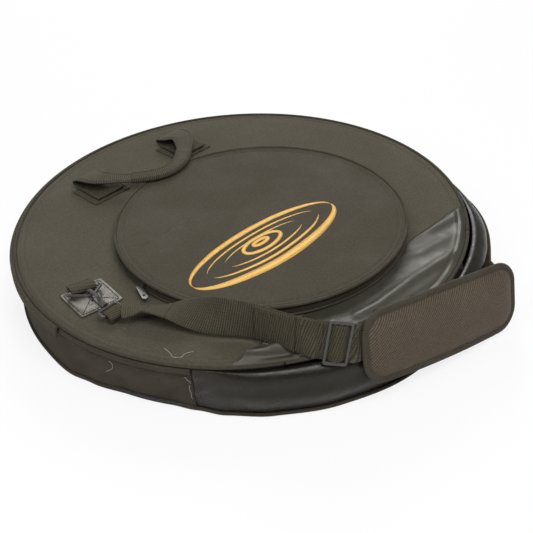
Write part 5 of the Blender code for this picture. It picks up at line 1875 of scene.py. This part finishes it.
@dataclass
class ShoulderStrap:
    """The ribbed strap, from the left hook over the lid, behind the pad and to the right hook."""

    pad: PadFrame
    width: float = 50 * MM
    doubling_width: float = 48 * MM
    keeper_width: float = 47.5 * MM
    end_width: float = 23.5 * MM
    bar: float = 3.7 * MM

    def adjuster(self) -> Matrix:
        """The adjuster's frame: X along the strap, Z out of its face."""
        turn = Matrix(((0.72217, -0.66199, -0.2006), (0.29609, 0.03375, 0.95456),
                       (-0.62514, -0.74875, 0.22038))).transposed().to_4x4()
        return Matrix.Translation(Vector((-132.2, -300.6, 98)) * MM) @ turn

    def eye_turn(self, side: str) -> list[Station]:
        """Sections of the strap's sewn end, which turns round an eye's bar.

        Args:
            side: Which eye, "left" or "right".

        Returns:
            The sections.
        """
        if side == "left":
            place, rows = Vector((-267.46, -42.33, 87.72)), (
                (0.03414, -0.97755, -0.20791), (0.99939, 0.0349, 0), (0.00726, -0.20779, 0.97815))
        else:
            place, rows = Vector((334.92, 34.6, 33)), (
                (0.10453, -0.99452, 0), (0, 0, -1), (0.99452, 0.10453, 0))
        bar = Matrix.Translation(place * MM) @ Matrix(rows).transposed().to_4x4()
        radius = self.bar
        turns = [math.pi * n / 10 for n in range(11)]
        line = [Vector((13 * MM, 0, -1.2 * MM)), Vector((7 * MM, 0, -0.75 * radius))]
        line += [Vector((-radius * math.sin(t), 0, -radius * math.cos(t))) for t in turns]
        line += [Vector((x * MM, 0, z * MM)) for x, z in ((4.5, 3.3), (9, 2.0), (13, 1.3))]
        across = bar.to_3x3() @ Vector((0, -1 if side == "left" else 1, 0))
        return bent_stations([bar @ p for p in line], across, self.end_width)

    def lead(self) -> list[Station]:
        """Sections from the left eye to the pad's end.

        Returns:
            The sections, in that order.
        """
        route = [(x * MM, y * MM, BAG_TOP + up * MM, wide * MM, lean) for x, y, up, wide, lean in LID_ROUTE]
        frame = self.adjuster()
        for reach in (-28, -22, 0, 15):
            route.append((*(frame @ Vector((reach * MM, 0, 0))), self.width, 77))
        for share in (-0.025, 0.0):
            spot = self.pad.point(share, self.pad.strap_over, self.pad.strap_depth)
            route.append((*spot, self.width, 75))
        return leaning_stations(eased(route, 7))

    def returning(self) -> list[Station]:
        """Sections from the pad's end, behind the pad and round to the right eye.

        Returns:
            The sections, in that order.
        """
        behind = [Station(self.pad.point(s / 20, self.pad.strap_over, self.pad.strap_depth),
                          self.pad.across, self.pad.out, self.width) for s in range(17)]
        start = self.pad.point(0.802, self.pad.strap_over, self.pad.strap_depth)
        route = [(*start, self.width, 75)]
        route += [(x * MM, y * MM, BAG_TOP + up * MM, wide * MM, lean)
                  for x, y, up, wide, lean in BACK_ROUTE[1:]]
        away = leaning_stations(eased(route, 6))
        return behind + away[1:]

    def hang(self, name: str, stations: list[Station], stops: Sequence[int], chain: Sequence[str]) -> None:
        """Build a run's end in lengths, one from each stop to the next.

        Args:
            name: What the lengths are called, before their number.
            stations: The whole run's sections.
            stops: Numbers of the sections where a length starts or ends.
            chain: Bodies listed for the stops, in the same order. Not used.
        """
        for n, (first, last) in enumerate(zip(stops, stops[1:])):
            length = band(stations[first:last + 1], FABRIC, 12, 0.3 * MM)
            piece = finished(f"{name}_{n + 1}", length, FINISH.web)
            start, end = stations[first].middle, stations[last].middle
            start.lerp(end, 0.12)
            start.lerp(end, 0.88)
            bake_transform(piece)

    def build(self) -> None:
        """Build the strap's runs, the sewn doubling, the keeper and the stitching."""
        stations = self.lead()
        stops = [next(n for n, s in enumerate(stations) if s.middle.y < y * MM) for y in (-72, -98, -222)]
        self.hang("strap_lead_end", stations, [0] + stops, ("left_eye", "left_hook", "left_ring", "lid"))
        lead = finished("strap_lead", band(stations[stops[-1]:], FABRIC, 12, 0.3 * MM), FINISH.web)
        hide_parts("strap_front_run", "strap_rim_run")
        near = [s for s in stations if -262 * MM < s.middle.y < -205 * MM and s.middle.z > 95 * MM]
        doubled = [Station(s.middle + s.normal * 2.6 * MM, s.across, s.normal, self.doubling_width)
                   for s in near]
        double = finished("strap_doubling", band(doubled, 1.9 * MM, 10, 0.3 * MM), FINISH.web)
        face = near[0].normal
        rows = []
        for first, last in ((0.12, 0.16), (0.84, 0.88)):
            for share in (first, last):
                at = doubled[round(share * (len(doubled) - 1))]
                rows.append([at.middle + at.across * (n - 10) * 2.1 * MM + face * 1.6 * MM
                             for n in range(21)])
        for side in (-1, 1):
            rows.append([s.middle + s.across * side * 21 * MM + face * 1.6 * MM for s in doubled[3:-3]])
        for first, last in ((-20, 20), (20, -20)):
            inner = doubled[4:-4]
            rows.append([s.middle + s.across * (first + (last - first) * n / (len(inner) - 1)) * MM
                         + face * 1.6 * MM for n, s in enumerate(inner)])
        sewn = stitches("strap_doubling_stitches", rows, 3.4 * MM)
        for item in (lead, double, sewn):
            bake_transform(item)
        stations = self.returning()
        last = len(stations) - 1
        run = lengths([s.middle for s in stations])
        stops = [next(n for n, here in enumerate(run) if here > run[-1] - reach * MM)
                 for reach in (150, 46, 22)]
        self.hang("strap_return_end", stations, stops + [last],
                  ("shell", "right_ring", "right_hook", "right_eye"))
        back = finished("strap_return", band(stations[:stops[0] + 1], FABRIC, 12, 0.2 * MM), FINISH.web)
        settle(back, "shell", "webbing", "strap_pad_run", "strap_back_run")
        for side in ("left", "right"):
            end = finished("strap_end_" + side, band(self.eye_turn(side), 2.0 * MM, 8), FINISH.web)
            settle(end, side + "_eye", "webbing")
        self.build_keeper()

    def build_keeper(self) -> None:
        """The strap's end, which goes through the adjuster's slots and over its middle bar."""
        frame = self.adjuster()
        path = ((-19, 3.3), (-15, 3.1), (-10.8, 3.0), (-7.4, 5.2), (-4.2, 8.3), (0, 8.9), (4.2, 8.3),
                (7.4, 5.2), (10.6, 3.3), (12.5, 3.3))
        points = [frame @ Vector((x * MM, 0, z * MM)) for x, z in eased(path, 4)]
        across = frame.to_3x3() @ Vector((0, -1, 0))
        keeper = band(bent_stations(points, across, self.keeper_width), 1.8 * MM, 12)
        keeper = finished("strap_keeper_cloth", keeper, FINISH.web)
        settle(keeper, "strap_adjuster", "webbing", "strap_keeper")


@dataclass
class ShoulderPad:
    """The padded twill cushion with its bound edge, backing and strap loops."""

    frame: PadFrame
    voxel: float = 4 * MM
    cap: float = 7 * MM
    band_width: float = 8 * MM

    def puffed(self, node: bpy.types.Object) -> bpy.types.Object:
        """The cushion, swollen by a cloth simulation from a slightly smaller shape.

        Args:
            node: The CAD node that it starts from.

        Returns:
            The cushion's object, with its simulation applied.
        """
        bm = bmesh.new()
        bm.from_mesh(node.data)
        bmesh.ops.remove_doubles(bm, verts=bm.verts, dist=0.01 * MM)
        bmesh.ops.recalc_face_normals(bm, faces=bm.faces)
        bm.normal_update()
        for vert in bm.verts:
            vert.co -= vert.normal * 1.2 * MM
        mesh = bpy.data.meshes.new("pad_start")
        bm.to_mesh(mesh)
        bm.free()
        item = bpy.data.objects.new("pad_cushion", mesh)
        bpy.context.scene.collection.objects.link(item)
        remesh = item.modifiers.new("voxels", "REMESH")
        remesh.mode = "VOXEL"
        remesh.voxel_size = self.voxel
        self.apply(item)
        start = [v.co.copy() for v in item.data.vertices]
        cloth = item.modifiers.new("cloth", "CLOTH")
        cloth.settings.use_pressure = True
        cloth.settings.uniform_pressure_force = 4
        cloth.settings.effector_weights.gravity = 0
        for number in range(1, 21):
            bpy.context.scene.frame_set(number)
        self.apply(item)
        bpy.context.scene.frame_set(1)
        for vert, before in zip(item.data.vertices, start):
            self.tame(vert, before)
        return item

    def apply(self, item: bpy.types.Object) -> None:
        """Make what an object's modifiers show its own mesh, and drop them.

        Args:
            item: The object.
        """
        graph = bpy.context.evaluated_depsgraph_get()
        mesh = bpy.data.meshes.new_from_object(item.evaluated_get(graph))
        item.modifiers.clear()
        item.data = mesh

    def tame(self, vert: bpy.types.MeshVertex, before: Vector) -> None:
        """Cap how far a point has moved, keep the back flat and press the bound edge down.

        Args:
            vert: The point.
            before: Where it was before the simulation.
        """
        moved = vert.co - before
        if moved.length > self.cap:
            moved *= self.cap / moved.length
        outward = self.frame.out * moved.dot(self.frame.out)
        along, across, out = self.frame.inside(before + outward + (moved - outward) * 0.2)
        along, across = self.frame.kept(along, across, 2 * MM)
        edge = self.frame.from_edge(along, across)
        crown = 2.2 * MM * math.sin(math.pi * max(0.0, min(1.0, along / self.frame.length)))
        rise = 1 - math.exp(-max(0.0, edge - self.band_width + 1.5 * MM) / (11 * MM))
        roof = -2.4 * MM + (10.2 * MM + crown) * rise
        roof += 0.7 * MM * rough(along, across, 0, 24 * MM) * rise
        out = max(-6.4 * MM, min(out, roof))
        if out > 1 * MM:
            out += 0.9 * MM * rough(along, across, 5, 40 * MM)
        vert.co = self.frame.point(along / self.frame.length, across, out)

    def build(self, node: bpy.types.Object) -> None:
        """Build the cushion, binding, stitching, backing and loops.

        Args:
            node: The CAD node of the cushion.
        """
        item = self.puffed(node)
        bm = bmesh.new()
        bm.from_mesh(item.data)
        bmesh.ops.smooth_vert(bm, verts=bm.verts, factor=0.4, use_axis_x=True, use_axis_y=True,
                              use_axis_z=True)
        layer = bm.loops.layers.uv.new(UV)
        for face in bm.faces:
            for loop in face.loops:
                loop[layer].uv = self.frame.inside(loop.vert.co)[:2]
        old = item.data
        bpy.data.objects.remove(item)
        cushion = finished("pad_cushion_cloth", bm, FINISH.pad)
        bpy.data.meshes.remove(old)
        smoother = cushion.modifiers.new("rounding", "SUBSURF")
        smoother.levels = smoother.render_levels = 1
        settle(cushion, "pad", "pad_fabric", "shoulder_pad")
        self.build_binding()
        self.build_backing()

    def build_binding(self) -> None:
        """The flat cloth tape folded over the cushion's edge, and its sewn row."""
        loop = self.frame.outline(0, 0)
        inner = self.frame.outline(1 * MM, 0)
        section = ((9.4, -4.6), (9.2, -2.6), (8.2, -1.4), (6.2, -1.0), (3.6, -0.7), (1.0, -1.0),
                   (-0.6, -2.2), (-1.1, -4.0), (-0.6, -5.8), (1.0, -6.5), (6.0, -6.6), (9.0, -6.2),
                   (9.4, -4.6))
        count = len(loop)

        def spot(i: int, j: int) -> Vector:
            """Place on the binding's skin."""
            inset, out = section[i]
            n = j % count
            inward = (inner[n] - loop[n]).normalized()
            puff = 0.25 * MM * rough(j * 0.4, i, 0, 1.0)
            return loop[n] + inward * inset * MM + self.frame.out * (out * MM + puff)

        bm = grid_mesh(girth(section), lengths(loop + [loop[0]]), spot)
        settle(finished("pad_binding_tape", bm, FINISH.binding), "pad", "pad_fabric")
        row = self.frame.outline(6.4 * MM, -0.85 * MM)
        settle(stitches("pad_binding_stitches", [row + row[:1]], 3.4 * MM), "pad", "pad_fabric")

    def build_backing(self) -> None:
        """The webbing backing and the three loops that hold the pad on its strap."""
        frame = self.frame
        sheet = [Station(frame.point(0.06 + 0.74 * n / 24, 0, -7.6 * MM), frame.across, frame.out, 86 * MM)
                 for n in range(25)]
        backing = finished("pad_backing_cloth", band(sheet, 1.4 * MM, 16), FINISH.patch)
        settle(backing, "pad", "webbing", "pad_backing")
        path = ((-46, -8.5), (-41, -8.6), (-39.6, -10.2), (-38.0, -11.8), (-20, -12.0), (0, -12.0),
                (13.0, -11.8), (14.6, -10.2), (16, -8.6), (21, -8.5))
        for number, share in enumerate((0.12, 0.35, 0.58), start=1):
            points = [frame.point(share, over * MM, out * MM) for over, out in eased(path, 4)]
            loop = band(bent_stations(points, frame.along, 16 * MM), 1.4 * MM, 6)
            settle(finished(f"pad_loop_{number}", loop, FINISH.web), "pad", "webbing")


@dataclass
class Inside:
    """The padding round the inner wall and the divider with its bound edge."""

    outer: float = 314 * MM
    radius: float = 290 * MM
    tape_radius: float = 291.6 * MM

    def build(self) -> None:
        """Build the padding and the divider."""
        line = arc(self.outer, 0, 360, 7 * MM)
        count = len(line) - 1
        shares = ((0, 0), (0, 0.2), (0, 0.5), (0, 0.8), (0, 1), (0.5, 1.0), (1, 0.94), (1.08, 0.8),
                  (1.1, 0.5), (1.08, 0.2), (1, 0.04), (0.5, 0), (0, 0))

        def spot(i: int, j: int) -> Vector:
            """Place on the padding's skin."""
            angle = 360.0 * (j % count) / count
            off = abs(angle - 270)
            thick = (4.0 + 12.0 * smooth((50 - off) / 8)) * MM
            share, rise = shares[i]
            quilt = 0.6 * MM * math.cos(angle * 12 * DEG) if share >= 1 else 0
            out = self.outer - thick * min(share, 1.08) - quilt
            return polar(out, angle, (6.3 + 44.5 * rise) * MM)

        bm = grid_mesh([0.01 * i for i in range(len(shares))], lengths(line), spot)
        settle(finished("padding_cloth", spread(bm), FINISH.foam), "shell", "foam", "inner_padding")
        outline = arc(self.radius, 0, 360, 7 * MM)[:-1]
        sheet = fan(outline, Vector(), lambda x, y: 7.9 * MM + 0.2 * MM * rough(x, y, 8, 50 * MM), 26)
        sheet = finished("divider_cloth", sheet, FINISH.lining, 1.6 * MM)
        settle(sheet, "divider_leaf", "lining", "divider")
        line = arc(self.tape_radius, 0, 360, 7 * MM, 7.4 * MM)[:-1]
        tape = tube(line, 1.7 * MM, 10, closed=True, flat=0.75)
        tape = finished("divider_tape", tape, FINISH.cord)
        settle(tape, "divider_leaf", "piping_cord", "divider_binding")


@dataclass
class LooseThreads:
    """Frayed thread ends near the vinyl's side seam, on the wall and on the front."""

    radius: float = 0.33 * MM

    def on_wall(self, points: Sequence[tuple[float, float]]) -> list[Vector]:
        """A line on the side wall.

        Args:
            points: Angles in degrees from +X, and heights in mm.

        Returns:
            The line.
        """
        line = []
        for angle, z in eased(points, 5):
            out = wall_radius(angle, z * MM) + 0.7 * MM + foot(angle) * smooth((56 - z) / 52)
            line.append(polar(out, angle, z * MM))
        return line

    def on_front(self, points: Sequence[tuple[float, float]]) -> list[Vector]:
        """A line on the front panel.

        Args:
            points: X and Y of places in mm.

        Returns:
            The line.
        """
        line = []
        for x, y in eased(points, 5):
            x, y = x * MM, y * MM
            line.append(Vector((x, y, lid_height(x, y) + 0.6 * MM)))
        return line

    def build(self) -> None:
        """Build the threads on the wall and those on the front."""
        seam = [
            self.on_wall(((194.9, 57), (195.6, 54), (195.7, 48), (194.9, 42), (193.2, 34))),
            self.on_wall(((213.2, 58), (213.5, 57), (213.8, 54), (214.3, 51), (214.4, 47))),
            self.on_wall(((214.2, 44), (214.0, 38), (214.4, 31), (214.2, 25), (214.4, 20))),
        ]
        front = [
            self.on_front(((-263, -136), (-264, -143), (-265, -151), (-267, -157), (-264, -162))),
            self.on_front(((-264, -162), (-258, -164), (-252, -164), (-244, -168))),
            self.on_front(((-271, -69), (-270.4, -69.8), (-270, -70))),
        ]
        for name, lines, body, slot in (("loose_threads", seam, "shell", "gusset_nylon"),
                                        ("front_threads", front, "lid", "woven_nylon")):
            made = joined([tube(line, self.radius, 5) for line in lines])
            settle(finished(name, made, FINISH.loose), body, slot)


class Hardware(Enum):
    """The CAD pieces that stay, by what they are made of."""

    PLASTIC = ("ring_left", "ring_right", "snap_hook_left", "snap_hook_right", "strap_eye_left",
               "strap_eye_right", "adjuster")
    ZINC = ("main_slider_left", "main_slider_right", "main_pull_left", "main_pull_right", "pocket_slider",
            "pocket_pull", "hook_gate_left", "hook_gate_right")


def dress_hardware(nodes: dict[str, bpy.types.Object]) -> None:
    """Give the CAD pieces that stay their finishes.

    Args:
        nodes: The frame's CAD nodes by name.
    """
    for kind, finish in ((Hardware.PLASTIC, FINISH.plastic), (Hardware.ZINC, FINISH.zinc)):
        for name in kind.value:
            slots = nodes[name].material_slots
            for slot in slots:
                slot.material = finish.material()
            LOG.info("%s: %d slots dressed as %s", name, len(slots), finish.name)


@dataclass
class Studio:
    """The pale floor, the soft lights and the camera."""

    floor_half: float = 40.0
    floor_drop: float = 0.6 * MM
    floor_glow: float = 0.82
    lens: float = 69.79
    place: Vector = Vector((-0.8331, -0.9226, 0.8863))
    ahead: Vector = Vector((0.5592, 0.5872, -0.5853))
    top: Vector = Vector((0.4435, 0.3846, 0.8096))

    def build(self) -> None:
        """Build the studio."""
        self.build_floor()
        self.build_lights()
        self.build_camera()
        scene = bpy.context.scene
        scene.view_settings.view_transform = "Standard"

    def build_floor(self) -> None:
        """The floor, which keeps the bag's shadow and shows white round it."""
        bm = bmesh.new()
        bmesh.ops.create_grid(bm, x_segments=8, y_segments=8, size=self.floor_half)
        bmesh.ops.translate(bm, verts=bm.verts, vec=(0, 0, -self.floor_drop))
        mesh = bpy.data.meshes.new("floor")
        bm.to_mesh(mesh)
        bm.free()
        floor = bpy.data.objects.new("floor", mesh)
        bpy.context.scene.collection.objects.link(floor)
        made = bpy.data.materials.new("floor_white")
        made.use_nodes = True
        nodes = Nodes(made.node_tree)
        shader = made.node_tree.nodes["Principled BSDF"]
        shader.inputs["Base Color"].default_value = (0.86, 0.86, 0.86, 1)
        shader.inputs["Roughness"].default_value = 0.9
        light = nodes.add("ShaderNodeEmission", Color=(1, 1, 1, 1), Strength=1.0)
        rays = nodes.add("ShaderNodeLightPath")
        mixed = nodes.add("ShaderNodeMixShader")
        seen = nodes.math("MULTIPLY", rays.outputs["Is Camera Ray"], self.floor_glow)
        nodes.tree.links.new(seen, mixed.inputs[0])
        nodes.tree.links.new(shader.outputs[0], mixed.inputs[1])
        nodes.tree.links.new(light.outputs[0], mixed.inputs[2])
        nodes.tree.links.new(mixed.outputs[0], made.node_tree.nodes["Material Output"].inputs[0])
        floor.data.materials.append(made)

    def build_lights(self) -> None:
        """A key light near the camera, one behind the bag, a weak one from the side, and a pale world."""
        for name, place, size, power in (
            ("key", (-0.45, -1.25, 2.4), 1.5, 46), ("window", (1.9, 2.0, 2.0), 1.8, 58),
            ("side", (-2.1, 0.2, 1.8), 1.2, 14),
        ):
            lamp = bpy.data.lights.new(name, "AREA")
            lamp.shape = "SQUARE"
            lamp.size = size
            lamp.energy = power
            item = bpy.data.objects.new(name, lamp)
            spot = Vector(place)
            turn = (-spot).to_track_quat("-Z", "Y")
            item.matrix_world = Matrix.Translation(spot) @ turn.to_matrix().to_4x4()
            bpy.context.scene.collection.objects.link(item)
        world = bpy.data.worlds.new("studio")
        world.use_nodes = True
        bpy.context.scene.world = world
        nodes = Nodes(world.node_tree)
        back = world.node_tree.nodes["Background"]
        back.inputs["Color"].default_value = (1, 1, 1, 1)
        rays = nodes.add("ShaderNodeLightPath")
        strength = nodes.math("MAXIMUM", rays.outputs["Is Camera Ray"], 0.3)
        nodes.tree.links.new(strength, back.inputs["Strength"])

    def build_camera(self) -> None:
        """The camera at the photograph's angle."""
        data = bpy.data.cameras.new("camera")
        data.lens = self.lens
        data.sensor_width = 36
        side = self.ahead.cross(self.top).normalized()
        turn = Matrix((side, side.cross(self.ahead).normalized(), -self.ahead.normalized())).transposed()
        item = bpy.data.objects.new("camera", data)
        item.matrix_world = Matrix.Translation(self.place) @ turn.to_4x4()
        bpy.context.scene.collection.objects.link(item)
        bpy.context.scene.camera = item


def main() -> None:
    """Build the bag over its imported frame, then the studio."""
    logging.basicConfig(level=logging.INFO, format="%(name)s %(message)s")
    for item in list(bpy.data.objects):
        bpy.data.objects.remove(item)
    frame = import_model()
    wall, handle, pad = SideWall(), CarryHandle(), PadFrame()
    Panels().build()
    wall.build()
    MainZip(CoilZip(318.2 * MM, -54.8, 234.8, 66.0 * MM, 2.0 * MM)).build(wall)
    FrontPocket().build()
    handle.build()
    StrapAnchor("left", "lid", Vector((-260, 27, 84.3)) * MM, Vector((0.96126, -0.27564, 0)),
                Vector((0.27564, 0.96126, 0)), Vector((0, 0, 1))).build(handle, wall)
    StrapAnchor("right", "shell", Vector((309.85, 100.68, 33)) * MM, Vector((0, 0, -1)),
                Vector((-0.309, 0.951, 0)), Vector((0.951, 0.309, 0))).build(handle, wall)
    ShoulderStrap(pad).build()
    ShoulderPad(pad).build(frame["nodes"]["shoulder_pad"])
    Inside().build()
    LooseThreads().build()
    dress_hardware(frame["nodes"])
    Studio().build()


if __name__ == "__main__":
    main()
